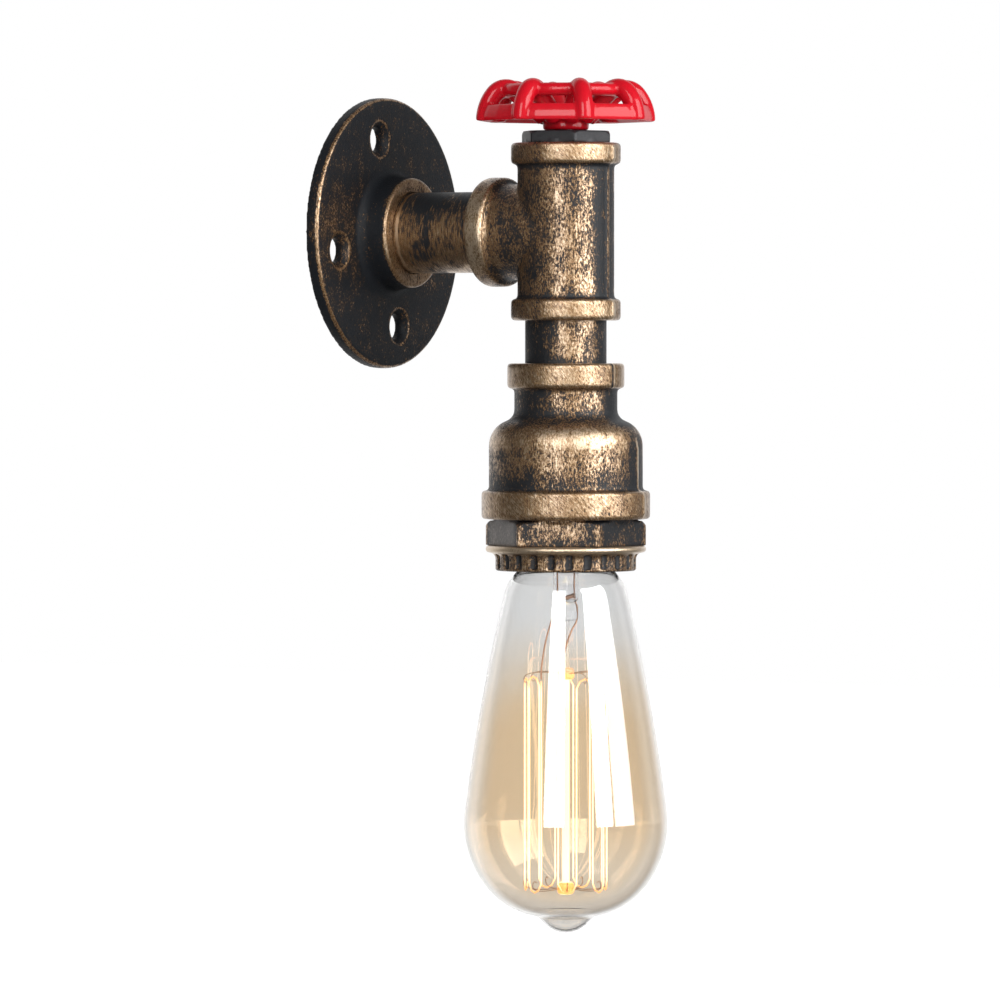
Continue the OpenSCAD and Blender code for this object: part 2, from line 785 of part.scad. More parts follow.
module switch_contacts() {
    color(brass) on_lamp_axis() for (side = [-1, 1]) translate([side * contact_x, 0, 0]) {
        translate([0, 0, housing_low + floor_h]) cylinder(d = contact_d, h = contact_head_h);
        translate([0, 0, housing_low - contact_tail])
            cylinder(d = contact_d / 2, h = contact_tail + floor_h + contact_head_h / 2);
    }
}

module switch_nut() {
    color(steel) on_lamp_axis() translate([0, 0, nut_top - nut_h]) difference() {
        cylinder(d = nut_d, h = nut_h, $fn = 6);
        translate([0, 0, -cut]) cylinder(d = bush_d + 2 * thread_gap, h = nut_h + 2 * cut);
    }
}

// Ring under the lock nut, with a tail that runs down beside the switch towards the wall
module earth_lug() {
    color(brass) on_lamp_axis() difference() {
        union() {
            translate([0, 0, nut_top]) cylinder(d = nut_d, h = lug_t);
            translate([-lug_w / 2, 0, nut_top]) cube([lug_w, lug_y + lug_t / 2, lug_t]);
            translate([-lug_w / 2, lug_y - lug_t / 2, housing_top - switch_h / 2])
                cube([lug_w, lug_t, nut_top + lug_t - housing_top + switch_h / 2]);
        }
        translate([0, 0, nut_top - cut]) cylinder(d = bush_d + 2 * thread_gap, h = lug_t + 2 * cut);
    }
}

// Wires lie at the bottom of the arm's bore; x, distance from the lamp's axis, then height
arm_rise = 0.6;
arm_low = arm_rise - pipe_in_d / 2 + wire_d / 2;
arm_side = 3.4;
arm_lift = 0.7;
wall_short = 1.5;
wall_end = reach - wall_short;
hole_x = 2.4;
lead_in = 1.5;
lug_room = 0.4;
tail_low = housing_low - contact_tail - wire_gap;
cap_high = skirt_top + holder_cap_h;
post_z = core_top + post_h / 2;
post_face = post_x - post_d / 2 - wire_gap;

feed_route = [
    [-arm_side, wall_end, arm_low + arm_lift],
    [-arm_side, tee_branch, arm_low + arm_lift],
    [-arm_side, 14, arm_low + arm_lift],
    [-contact_x, 4.5, arm_low + 3],
    [-contact_x, 0.6, tail_low - 4.5],
    [-contact_x, 0, tail_low - 2],
    [-contact_x, 0, tail_low]
];
switched_route = [
    [contact_x, 0, tail_low],
    [contact_x, 0, tail_low - 2],
    [contact_x, -0.4, tail_low - 7],
    [contact_x, -2, -tee_run],
    [contact_x, -2, red_top - red_top_h],
    [hole_x, 0, cap_high + 3],
    [hole_x, 0, cap_high - holder_cap_wall],
    [hole_x + 0.4, 0, post_z + 1.8],
    [post_face - lead_in, 0, post_z],
    [post_face, 0, post_z]
];
neutral_route = [
    [arm_side, wall_end, arm_low + arm_lift],
    [arm_side, tee_branch, arm_low + arm_lift],
    [arm_side - 1, 12, arm_low - 0.5],
    [-1, 5, arm_low - 6],
    [-contact_x, 1, -tee_run],
    [-contact_x, 1, red_top - red_top_h],
    [-hole_x, 0, cap_high + 3],
    [-hole_x, 0, cap_high - holder_cap_wall],
    [-hole_x - 0.4, 0, post_z + 1.8],
    [lead_in - post_face, 0, post_z],
    [-post_face, 0, post_z]
];
lug_y = (switch_d + plug_bore_d) / 4;
earth_y = switch_d / 2 + wire_d / 2 + lug_room;
lug_low = housing_top - switch_h / 2 - wire_gap;
earth_route = [
    [0, wall_end, arm_low],
    [0, tee_branch, arm_low],
    [0, 15, arm_low + 1],
    [0, earth_y + 0.6, lug_low - 8],
    [0, earth_y, lug_low - 3],
    [0, earth_y, lug_low]
];

module wire(route, tint) {
    color(tint) on_lamp_axis() tube(spline(route), wire_d);
}

module feed_wire() {
    wire(feed_route, "#6b3f1f");
}

module switched_wire() {
    wire(switched_route, "#262626");
}

module neutral_wire() {
    wire(neutral_route, "#2c5aa8");
}

module earth_wire() {
    wire(earth_route, "#5f9a36");
}

// Outline of an arched spoke: up from the rim, over the top and down to the hub
module spoke_outline() {
    out_r = wheel_d / 2 - spoke_top_r;
    in_r = out_r - spoke_t;
    peak = [spoke_top_r, wheel_top - out_r];
    turn = 90 + spoke_slope;
    down = [-cos(spoke_slope), -sin(spoke_slope)];
    high = peak + out_r * [cos(turn), sin(turn)];
    low = peak + in_r * [cos(turn), sin(turn)];
    hub_lap = 0.5;
    foot_w = 2;
    foot_rise = 1;
    stop = wheel_hub_d / 2 - hub_lap;
    polygon(concat(
        oval([spoke_top_r, rim_low], out_r, wheel_h, 0, 84, 12),
        arc(peak, out_r, 90, turn, 6),
        [high + down * (high.x - stop) / cos(spoke_slope)],
        [[stop, hub_low + foot_rise]],
        [low + down * (low.x - stop - foot_w) / cos(spoke_slope)],
        arc(peak, in_r, turn, 90, 6),
        oval([spoke_top_r, rim_low], in_r, wheel_h - spoke_t, 80, 0, 8)
    ));
}

module handwheel() {
    corner_r = wheel_d / 2 - spoke_proud;
    color(red) on_lamp_axis() difference() {
        union() {
            rotate([0, 0, wheel_turn]) {
                wheel_rim(corner_r);
                intersection() {
                    rotate_extrude() spoke_outline();
                    for (k = [0:spoke_n / 2 - 1])
                        rotate([0, 0, k * 360 / spoke_n])
                            translate([-wheel_d, -spoke_w / 2, hub_low - cut])
                                cube([2 * wheel_d, spoke_w, wheel_top - hub_low + 2 * cut]);
                }
            }
            translate([0, 0, wheel_top - link_drop - link_h])
                ring(2 * spoke_top_r + link_w, 2 * spoke_top_r - link_w, link_h);
            translate([0, 0, hub_low]) cylinder(d = wheel_hub_d, h = wheel_hub_h);
        }
        translate([0, 0, hub_low - cut])
            cylinder(d = shaft_d + 2 * seat_play, h = shaft_step - hub_low + cut + seat_play);
        translate([0, 0, hub_low]) shaft_end(seat_play, wheel_hub_h + cut);
    }
}

module wheel_rim(corner_r) {
    translate([0, 0, rim_low]) difference() {
        cylinder(r = corner_r, h = rim_h, $fn = spoke_n);
        translate([0, 0, -cut])
            cylinder(r = corner_r - rim_wall / cos(180 / spoke_n), h = rim_h + 2 * cut, $fn = spoke_n);
    }
}

// Upper end of the shaft with its flat, grown by the play all round
module shaft_end(grow, h) {
    difference() {
        cylinder(d = shaft_end_d + 2 * grow, h = h);
        translate([shaft_end_d / 2 - shaft_flat + grow, -shaft_d, -cut])
            cube([shaft_d, 2 * shaft_d, h + 2 * cut]);
    }
}

module switch_shaft() {
    color(steel) on_lamp_axis() difference() {
        union() {
            translate([0, 0, rotor_low + 1]) cylinder(d = shaft_d, h = shaft_step - rotor_low - 1);
            translate([0, 0, shaft_step - cut]) shaft_end(0, shaft_high - shaft_step + cut);
        }
        translate([0, 0, hub_high + washer_t - screw_len - play])
            cylinder(d = screw_d + 2 * thread_gap, h = screw_len + cut);
    }
}

module switch_rotor() {
    color(porcelain) on_lamp_axis() difference() {
        translate([0, 0, rotor_low])
            cylinder(d = switch_d - 2 * switch_wall - 2 * play, h = housing_top - rotor_low - play);
        translate([0, 0, rotor_low + 1]) cylinder(d = shaft_d + 2 * shaft_gap, h = switch_h);
    }
}

module contact_bridge() {
    long = 2 * contact_x + contact_d / 2;
    color(brass) on_lamp_axis() translate([-long / 2, -contact_d / 2, bridge_low])
        cube([long, contact_d, bridge_t]);
}

module wheel_washer() {
    color(steel) on_lamp_axis() translate([0, 0, hub_high])
        ring(washer_d, screw_d + 2 * seat_play, washer_t);
}

module wheel_screw() {
    under = hub_high + washer_t;
    color(steel) on_lamp_axis() difference() {
        union() {
            translate([0, 0, under]) disc(screw_head_d, screw_head_h, screw_head_h / 3);
            translate([0, 0, under - screw_len]) cylinder(d = screw_d, h = screw_len + cut / 2);
        }
        for (a = [0, 90])
            rotate([0, 0, a]) translate([-screw_head_d / 3, -slot_w / 2, under + screw_head_h / 2])
                cube([2 * screw_head_d / 3, slot_w, screw_head_h]);
    }
}

// Distances u in the bulb are measured from the rim of its cap towards its tip
module in_bulb() {
    translate([0, -reach, cap_rim]) mirror([0, 0, 1]) children();
}

// Outer outline of the glass from its neck to its tip, as [radius, u]
function glass_outline() =
    let (
        lean = 13.5,
        flank_turn = -7,
        belly_turn = -4,
        base_turn = 40,
        nub_turn = 38,
        step = 6,
        belly_r = bulb_d / 2,
        base_r = 0.78 * belly_r,
        nub_r = bulb_tip_r,
        belly = [0, bulb_tip_u - bulb_low_h],
        waist = [bulb_waist_r, bulb_waist_u],
        mid = waist - bulb_shoulder_r * [cos(lean), -sin(lean)],
        neck_turn = asin(mid.y / bulb_shoulder_r),
        flank_end = belly + belly_r * [cos(flank_turn), sin(flank_turn)],
        base_mid = belly + (belly_r - base_r) * [cos(base_turn), sin(base_turn)],
        tip_turn = acos((bulb_tip_r - base_mid.x) / base_r)
    )
    concat(
        arc(mid, bulb_shoulder_r, -neck_turn, -lean, 10),
        bowed(waist, flank_end, bulb_flank_bulge),
        arc(belly, belly_r, belly_turn, base_turn, 12),
        arc(base_mid, base_r, base_turn + step, tip_turn, 7),
        arc([0, bulb_tip_u - nub_r], nub_r, nub_turn, 90, 6)
    );

// The same outline moved in by t
function inset(p, t) =
    let (last = len(p) - 1)
    [for (i = [0:last])
        let (d = unit(p[min(i + 1, last)] - p[max(i - 1, 0)]), q = p[i] + t * [-d.y, d.x])
        [max(q.x, 0), q.y]];

neck_u = 4.2;

module bulb_glass() {
    outer = glass_outline();
    inner = inset(outer, glass_t);
    n = len(inner) - 1;
    neck_r = outer[0].x;
    tip_in = [0, bulb_tip_u - glass_t];
    color(amber, 0.5) in_bulb() rotate_extrude()
        polygon(concat(
            [[neck_r, -neck_u]],
            outer,
            [tip_in],
            [for (i = [1:n - 1]) inner[n - i]],
            [[neck_r - glass_t, glass_t], [neck_r - glass_t, -neck_u]]
        ));
}

cap_wall = 0.35;
cap_plain = 5;
cap_thread_end = 19.5;
cap_shell_end = 20.4;
cap_end_r = 10.4;
insulator_end = 24.8;
insulator_rim = 0.4;
contact_r = 4.6;

// Outline of the cap's rolled thread, as [radius, u], moved in by t
function cap_outline(t) = [
    for (i = [0:24])
        let (u = cap_plain + (cap_thread_end - cap_plain) * i / 24)
        [cap_d / 2 - t - cap_thread / 2 * (1 - cos(360 * (u - cap_plain) / cap_pitch)), -u]
];

module bulb_cap() {
    outer = cap_outline(0);
    inner = cap_outline(cap_wall);
    n = len(inner) - 1;
    color(steel) in_bulb() rotate_extrude()
        polygon(concat(
            [[cap_d / 2, 0]],
            outer,
            [[cap_end_r, -cap_shell_end], [cap_end_r - cap_wall, cap_wall - cap_shell_end]],
            [for (i = [0:n]) inner[n - i]],
            [[cap_d / 2 - cap_wall, 0]]
        ));
}

module cap_insulator() {
    color(phenolic) in_bulb() rotate_extrude()
        polygon([
            [0, -cap_shell_end - seat_play],
            [cap_end_r, -cap_shell_end - seat_play],
            [contact_r + insulator_rim, -insulator_end],
            [0, -insulator_end]
        ]);
}

module bulb_contact() {
    dome = cap_h - insulator_end - seat_play;
    color(steel) in_bulb() mirror([0, 0, 1]) translate([0, 0, insulator_end + seat_play])
        rotate_extrude()
            polygon(concat([[0, 0]], arc([contact_r - dome, 0], dome, 0, 90, 6), [[0, dome]]));
}

press_rise = 27.5;
press_u = cage_u - press_rise;
press_h = 8.9;
press_t = 3.6;
press_round = 1.7;
flare_r = 6;
flare_u = 3.4;
rod_u = press_u + press_h;
top_bead_u = cage_u - bead_h;
low_bead_u = cage_u + cage_h - bead_h / 2;

module bulb_stem() {
    foot_r = glass_outline()[0].x - glass_t - play;
    foot_turn = 245;
    press_lap = 0.5;
    color(clear, 0.5) in_bulb() {
        rotate_extrude()
            polygon(concat(
                [[0, -neck_u], [foot_r, -neck_u]],
                arc([stem_d / 2 + flare_r, flare_u], flare_r, foot_turn, 180, 8),
                [[stem_d / 2, press_u + press_lap], [0, press_u + press_lap]]
            ));
        translate([0, 0, press_u]) intersection() {
            disc(stem_d, press_h, press_round);
            translate([-stem_d, -press_t / 2, 0]) cube([2 * stem_d, press_t, press_h]);
        }
    }
}

module glass_rod() {
    color(amber) in_bulb() {
        translate([0, 0, rod_u]) cylinder(d = rod_d, h = low_bead_u + bead_h / 2 - rod_u);
        translate([0, 0, top_bead_u]) disc(bead_d, bead_h, bead_h / 3);
        translate([0, 0, low_bead_u]) disc(bead_d, bead_h, bead_h / 3);
    }
}

function on_cage(a, r, u) = [r * cos(a), r * sin(a), u];
cage_step = 360 / filament_n;
cage_turn = 200;
bend_h = 2.2;

// Straight wires from the beads to the insides of the filament's bends
module filament_hooks() {
    start = bead_d / 2 + seat_play;
    long = cage_r - filament_d / 2 - seat_play - start;
    color(steel) in_bulb() for (k = [0:filament_n - 2])
        rotate([0, 0, cage_turn + (k + 0.5) * cage_step])
            translate([start, 0, k % 2 == 0 ? low_bead_u + bead_h / 2 : top_bead_u + bead_h / 2])
                rotate([0, 90, 0]) cylinder(d = hook_d, h = long);
}

// Two wires from the press to the ends of the filament
module lead_wires() {
    lead_d = 0.7;
    side_y = press_t / 2 + lead_d / 2 + seat_play;
    end_u = cage_u - filament_d - seat_play;
    color("#b8764a") in_bulb() for (side = [0, 1]) {
        a = cage_turn - side * cage_step;
        s = side == 0 ? 1 : -1;
        out = on_cage(a, cage_r, end_u);
        tube(spline([
            [0, -s * side_y, press_u + 1],
            [0, -s * side_y, press_u + press_h],
            [out.x * 0.35, out.y * 0.35 - s * 1.5, press_u + press_h + 5],
            [out.x * 0.75, out.y * 0.75, end_u - 6],
            [out.x, out.y, end_u - 1.5],
            out
        ], 3), lead_d, 6);
    }
}

// One wire that runs up and down round the cage and bends over each hook
function filament_path() = [
    for (i = [0:filament_n - 1])
        let (
            a = cage_turn + i * cage_step,
            down = i % 2 == 0,
            high = cage_u + (i == 0 || i == filament_n - 1 ? 0 : bend_h),
            low = cage_u + cage_h - bend_h,
            out = down ? low + bend_h : cage_u
        )
        each concat(
            [on_cage(a, cage_r, down ? high : low), on_cage(a, cage_r, down ? low : high)],
            i == filament_n - 1 ? [] : [
                for (s = [0.2, 0.5, 0.8])
                    on_cage(a + s * cage_step, cage_r, out + (down ? 1 : -1) * bend_h * (s == 0.5 ? 0.35 : 0))
            ]
        )
];

module filament() {
    color(tungsten) in_bulb() tube(filament_path(), filament_d, 6);
}

wall_flange();
arm_nipple();
tee();
drop_nipple();
reducer();
hex_bushing();
shade_ring();
holder_skirt();
holder_cap();
holder_core();
screw_shell();
centre_contact();
terminal_posts();
terminal_screws();
hex_plug();
switch_bush();
switch_housing();
switch_contacts();
switch_nut();
earth_lug();
feed_wire();
switched_wire();
neutral_wire();
earth_wire();
handwheel();
wheel_screw();
wheel_washer();
switch_shaft();
switch_rotor();
contact_bridge();
bulb_contact();
bulb_cap();
cap_insulator();
bulb_glass();
bulb_stem();
glass_rod();
filament_hooks();
lead_wires();
filament();
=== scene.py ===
"""Looks of the pipe wall light: bronze brushed over black iron, a red valve wheel and a lit bulb."""
import math

import bpy
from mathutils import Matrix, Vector


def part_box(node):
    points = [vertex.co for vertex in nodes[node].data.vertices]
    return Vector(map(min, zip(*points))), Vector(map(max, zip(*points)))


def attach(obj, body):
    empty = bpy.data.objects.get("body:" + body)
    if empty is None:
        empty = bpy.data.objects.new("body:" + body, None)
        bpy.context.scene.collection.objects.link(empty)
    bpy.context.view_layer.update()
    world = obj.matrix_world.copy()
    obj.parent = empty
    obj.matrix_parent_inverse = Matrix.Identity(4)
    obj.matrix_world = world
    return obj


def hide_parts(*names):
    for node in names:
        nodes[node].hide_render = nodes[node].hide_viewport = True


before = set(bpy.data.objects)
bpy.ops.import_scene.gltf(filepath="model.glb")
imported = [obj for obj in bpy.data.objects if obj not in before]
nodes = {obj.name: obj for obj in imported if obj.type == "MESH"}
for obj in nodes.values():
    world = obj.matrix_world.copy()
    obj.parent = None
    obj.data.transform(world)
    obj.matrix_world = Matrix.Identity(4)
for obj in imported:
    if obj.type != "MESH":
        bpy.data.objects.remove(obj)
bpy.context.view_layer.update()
MM = 0.001


# Places from the frame, and a few sizes that go with them

def middle(node):
    low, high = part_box(node)
    return (low + high) / 2


LAMP_Y = middle("drop_nipple").y
TEE_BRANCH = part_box("tee")[1].y
REDUCER_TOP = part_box("reducer")[1].z
RING_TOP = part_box("shade_ring")[1].z
FLANGE_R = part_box("wall_flange")[1].x
HUB_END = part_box("wall_flange")[0].y
WHEEL_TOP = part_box("handwheel")[1].z
WHEEL_HUB_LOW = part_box("handwheel")[0].z
RIM_LOW = WHEEL_HUB_LOW + 2.5 * MM
WHEEL_R = 28.85 * MM
WHEEL_TURN = math.radians(43.3)
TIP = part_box("bulb_glass")[0].z
NECK_LAP = 4.2  # millimetres of the neck that stand inside the cap
CAP_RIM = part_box("bulb_glass")[1].z - NECK_LAP * MM
FILAMENT_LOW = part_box("filament")[0].z
FILAMENT_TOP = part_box("filament")[1].z


# Modelling

def clear_selection():
    if bpy.context.object and bpy.context.object.mode != "OBJECT":
        bpy.ops.object.mode_set(mode="OBJECT")
    bpy.ops.object.select_all(action="DESELECT")


def take(piece):
    """Makes one piece the only selected one, ready for the next operator."""
    clear_selection()
    piece.select_set(True)
    bpy.context.view_layer.objects.active = piece
    return piece


def named(name):
    piece = bpy.context.object
    piece.name = name
    piece.data.name = name
    return piece


def settle(piece):
    """Puts the piece's place and turn into its mesh."""
    take(piece)
    bpy.ops.object.transform_apply(location=True, rotation=True, scale=True)
    return piece


def finish_with(piece, kind, **settings):
    """Adds one modifier and applies it."""
    take(piece)
    modifier = piece.modifiers.new(kind.lower(), kind)
    for key, value in settings.items():
        setattr(modifier, key, value)
    bpy.ops.object.modifier_apply(modifier=modifier.name)
    return piece


def outward(piece, merge=1e-6):
    """Merges doubles and turns the faces outwards."""
    take(piece)
    bpy.ops.object.mode_set(mode="EDIT")
    bpy.ops.mesh.select_all(action="SELECT")
    bpy.ops.mesh.remove_doubles(threshold=merge)
    bpy.ops.mesh.normals_make_consistent(inside=False)
    bpy.ops.object.mode_set(mode="OBJECT")
    return piece


def joined(name, pieces):
    take(pieces[0])
    for other in pieces[1:]:
        other.select_set(True)
    bpy.ops.object.join()
    return named(name)


def fused(piece, voxel, passes):
    """Melts what overlaps into one casting with soft edges and fillets."""
    finish_with(piece, "REMESH", mode="VOXEL", voxel_size=voxel)
    finish_with(piece, "SMOOTH", factor=0.5, iterations=passes)
    take(piece)
    bpy.ops.object.shade_smooth()
    return piece


def casting(name, node, voxel, passes):
    """A cast copy of a CAD node: the same form with its edges softened."""
    piece = bpy.data.objects.new(name, nodes[node].data.copy())
    piece.data.name = name
    bpy.context.scene.collection.objects.link(piece)
    return fused(outward(piece), voxel, passes)


def turned(name, rings, sides, closed=True, centre_y=LAMP_Y):
    """A shell turned on an upright axis, ring by ring, from (radius, height) pairs."""
    clear_selection()
    radius, height = rings[0]
    bpy.ops.mesh.primitive_circle_add(vertices=sides, radius=radius, location=(0, 0, height))
    piece = settle(named(name))
    bpy.ops.object.mode_set(mode="EDIT")
    bpy.ops.mesh.select_all(action="SELECT")
    for next_radius, next_height in rings[1:]:
        bpy.ops.mesh.extrude_region_move(TRANSFORM_OT_translate={"value": (0, 0, next_height - height)})
        scale = next_radius / radius
        bpy.ops.transform.resize(value=(scale, scale, 1), center_override=(0, 0, next_height))
        radius, height = next_radius, next_height
    if closed:
        bpy.ops.mesh.merge(type="CENTER")
    bpy.ops.object.mode_set(mode="OBJECT")
    piece.location = (0, centre_y, 0)
    return outward(settle(piece))


def wires(name, routes, radius):
    """Thin round wires along smooth routes, as one mesh."""
    curve = bpy.data.curves.new(name, "CURVE")
    curve.dimensions = "3D"
    curve.bevel_depth = radius
    curve.bevel_resolution = 2
    curve.use_fill_caps = True
    for route in routes:
        line = curve.splines.new("BEZIER")
        line.bezier_points.add(len(route) - 1)
        line.resolution_u = 6
        for point, place in zip(line.bezier_points, route):
            point.co = place
            point.handle_left_type = point.handle_right_type = "AUTO"
    piece = bpy.data.objects.new(name, curve)
    bpy.context.scene.collection.objects.link(piece)
    take(piece)
    bpy.ops.object.convert(target="MESH")
    piece = outward(named(name))
    bpy.ops.object.shade_smooth()
    return piece


def around(centre, radius, degrees):
    """The place at a radius and an angle from a centre."""
    a = math.radians(degrees)
    return (centre[0] + radius * math.cos(a), centre[1] + radius * math.sin(a))


def arc(centre, radius, start, end, steps):
    return [around(centre, radius, start + (end - start) * i / steps) for i in range(steps + 1)]


def in_bulb(x, y, u):
    """A place in the bulb in metres, from millimetres off its axis and u below the rim of its cap."""
    return (x * MM, LAMP_Y + y * MM, CAP_RIM - u * MM)


def below_cap(outline):
    """Rings in metres, from radii in millimetres and depths below the rim of the bulb's cap."""
    return [(r * MM, CAP_RIM - u * MM) for r, u in outline]


# Bulb

def glass_rings():
    """The teardrop from its neck to its tip, as (radius, height), in metres."""
    tip = (CAP_RIM - TIP) / MM
    waist = (19.35, 9.0)
    shoulder_r, lean = 14.0, 13.5
    belly, belly_r = (0.0, tip - 34.5), 32.09
    flank_end, flank_bow, flank_steps = -7.0, 1.0, 24
    base_r, base_turn = 0.78 * belly_r, 40.0
    throat = (8.5, tip - 4.5)
    nub_r = 9.5

    shoulder = around(waist, shoulder_r, 180 - lean)
    neck = math.degrees(math.asin(shoulder[1] / shoulder_r))
    neck_curve = arc(shoulder, shoulder_r, -neck, -lean, 16)
    end = around(belly, belly_r, flank_end)
    along = (end[0] - waist[0], end[1] - waist[1])
    length = math.hypot(*along)
    side = (along[1] / length, -along[0] / length)
    flank = []
    for i in range(1, flank_steps + 1):
        s = i / flank_steps
        bow = 4 * flank_bow * s * (1 - s)
        flank.append((waist[0] + along[0] * s + side[0] * bow, waist[1] + along[1] * s + side[1] * bow))
    base = around(belly, belly_r - base_r, base_turn)
    base_end = math.degrees(math.acos((nub_r - base[0]) / base_r))
    outline = [(neck_curve[0][0], -NECK_LAP)] + neck_curve + flank
    outline += arc(belly, belly_r, flank_end + 1.5, base_turn, 24)
    outline += arc(base, base_r, base_turn + 3, base_end, 14) + [throat]
    outline += arc((0, tip - nub_r), nub_r, 38, 88, 12)
    return below_cap(outline)


def bulb_shell():
    piece = turned("bulb_shell", glass_rings(), 128)
    finish_with(piece, "SOLIDIFY", thickness=0.9 * MM, offset=-1)
    take(piece)
    bpy.ops.object.shade_smooth_by_angle(angle=math.radians(60))
    return piece


def stem_glass():
    """Hollow stem with a flared foot, closed by the flat press that holds the lead wires."""
    tube_r, flare_r, end_r = 3.9, 6.0, 1.3
    foot_r = glass_rings()[0][0] / MM - 1.2
    flare = arc((tube_r + flare_r, 3.4), flare_r, 245, 180, 10)
    end = arc((tube_r - end_r, 10.5), end_r, 0, 85, 5)
    tube = turned("stem_tube", below_cap([(foot_r, 0.1 - NECK_LAP)] + flare + end), 48)
    finish_with(tube, "SOLIDIFY", thickness=0.8 * MM, offset=-1)
    clear_selection()
    press_u, press_size, press_turn = 14.7, (7.8 * MM, 3.5 * MM, 5.8 * MM), math.radians(-59)
    bpy.ops.mesh.primitive_cube_add(size=1, location=in_bulb(0, 0, press_u))
    press = named("stem_press")
    press.scale = press_size
    press.rotation_euler = (0, 0, press_turn)
    settle(press)
    finish_with(press, "BEVEL", width=1.6 * MM, segments=5)
    stem = joined("stem_glass", [tube, press])
    bpy.ops.object.shade_smooth_by_angle(angle=math.radians(50))
    return stem


def lead_pair():
    """Two copper leads: down the stem, past the press and out to the ends of the filament."""
    left = [
        (-1.4, 2.3, -3.5), (-1.4, 2.3, 3), (-1.4, 2.3, 9),
        (-1.7, 2.7, 13), (-2.9, 3.4, 17.4), (-6.0, 3.2, 22),
        (-11, 1.9, 29.4), (-12.6, 1.4, 33), (-12.84, 1.28, 35.7),
    ]
    right = [
        (1.4, -2.3, -3.5), (1.4, -2.3, 3), (1.4, -2.3, 9),
        (1.7, -2.7, 13), (1.5, -3.1, 17.4), (-0.4, -2.4, 20.6),
        (-6.5, -3.2, 27.5), (-11, -4.2, 32.5), (-12.12, -4.41, 35.7),
    ]
    weld = [(-0.2, 0.2, 10.6), (0.5, -0.8, 10.2), (1.4, -2.3, 9.6)]
    thin = wires("lead_thin", [[in_bulb(*p) for p in route] for route in (left, right)], 0.28 * MM)
    thick = wires("lead_weld", [[in_bulb(*p) for p in weld]], 0.75 * MM)
    return joined("lead_pair", [thin, thick])


def hook_wires():
    """Wires that stand out of the two beads, each curled round a bend of the filament."""
    runs, first, cage_r = 14, 200, 12.9
    low_bead, high_bead = 101.8, 34.3
    profile = [
        (2.2, 0), (7.5, -0.5), (cage_r - 0.7, 0), (cage_r + 0.5, 0.8), (cage_r + 0.6, 2.0),
        (cage_r - 0.1, 2.7), (cage_r - 0.9, 2.2),
    ]
    routes = []
    for k in range(runs - 1):
        angle = first + (k + 0.5) * 360 / runs
        level, way = (low_bead, -1) if k % 2 == 0 else (high_bead, 1)
        routes.append([in_bulb(*around((0, 0), r, angle), level + way * d) for r, d in profile])
    return wires("hook_wires", routes, 0.13 * MM)


# Wheel

def wheel_ribs():
    """Eight arched ribs: a long curve up from the rim, a short one over the top, then down to the hub."""
    half, crown, down = 3.0 * MM, 19.2 * MM, 12.4 * MM
    first, slope = math.radians(40), math.radians(40)
    foot_x, foot_z = WHEEL_R - half, RIM_LOW + 0.3 * MM
    reach, rise = foot_x - crown, WHEEL_TOP - half - foot_z
    spread = (rise - reach) / (math.sin(first) + math.cos(first) - 1)
    short = rise - spread * math.sin(first)
    clear_selection()
    bpy.ops.mesh.primitive_circle_add(
        vertices=24, radius=half, fill_type="NGON", location=(foot_x, 0, foot_z)
    )
    piece = settle(named("wheel_ribs"))
    bpy.ops.object.mode_set(mode="EDIT")
    bpy.ops.mesh.select_all(action="SELECT")
    bpy.ops.mesh.spin(steps=8, angle=first, center=(foot_x - short - spread, 0, foot_z), axis=(0, 1, 0))
    over = math.pi / 2 - first + slope
    top = (crown, 0, foot_z + spread * math.sin(first))
    bpy.ops.mesh.spin(steps=14, angle=over, center=top, axis=(0, 1, 0))
    bpy.ops.mesh.extrude_region_move(
        TRANSFORM_OT_translate={"value": (-down * math.cos(slope), 0, -down * math.sin(slope))}
    )
    bpy.ops.mesh.select_all(action="SELECT")
    bpy.ops.mesh.spin(steps=8, dupli=True, angle=2 * math.pi, center=(0, 0, 0), axis=(0, 0, 1))
    bpy.ops.object.mode_set(mode="OBJECT")
    return outward(piece, 1e-5)


def wheel_rim():
    """Octagonal rim whose flats swell near the foot and lean in above."""
    profile = [(1.5, 0.0), (0.8, 0.6), (0.65, 1.4), (0.85, 2.4), (1.35, 3.5), (2.05, 4.6), (2.75, 5.5)]
    rings = [(WHEEL_R - inset * MM, RIM_LOW + height * MM) for inset, height in profile]
    rim = turned("wheel_rim", rings, 8, closed=False, centre_y=0)
    finish_with(rim, "SUBSURF", subdivision_type="SIMPLE", levels=2, render_levels=2)
    bowed_to = WHEEL_R - 1.2 * MM
    finish_with(
        rim, "CAST", cast_type="CYLINDER", factor=0.3, use_z=False,
        use_radius_as_size=False, size=bowed_to,
    )
    return finish_with(rim, "SOLIDIFY", thickness=3.2 * MM, offset=-1)


def wheel_link():
    """Round ring that links the ribs near the top."""
    clear_selection()
    bpy.ops.mesh.primitive_torus_add(
        major_segments=64, minor_segments=16, major_radius=19.0 * MM, minor_radius=2.1 * MM
    )
    link = named("wheel_link")
    link.location = (0, 0, WHEEL_TOP - 3.6 * MM)
    return settle(link)


def wheel_hub():
    height = 6.2 * MM
    clear_selection()
    bpy.ops.mesh.primitive_cylinder_add(
        vertices=64, radius=7.2 * MM, depth=height, location=(0, 0, WHEEL_HUB_LOW + height / 2)
    )
    return finish_with(settle(named("wheel_hub")), "BEVEL", width=0.5 * MM, segments=3)


def wheel_casting():
    """The valve wheel: ribs, rim, link ring and hub melted into one casting."""
    wheel = joined("wheel_casting", [wheel_ribs(), wheel_rim(), wheel_link(), wheel_hub()])
    fused(wheel, voxel=0.38 * MM, passes=10)
    wheel.location = (0, LAMP_Y, 0)
    wheel.rotation_euler = (0, 0, WHEEL_TURN)
    return settle(wheel)


# Finishes

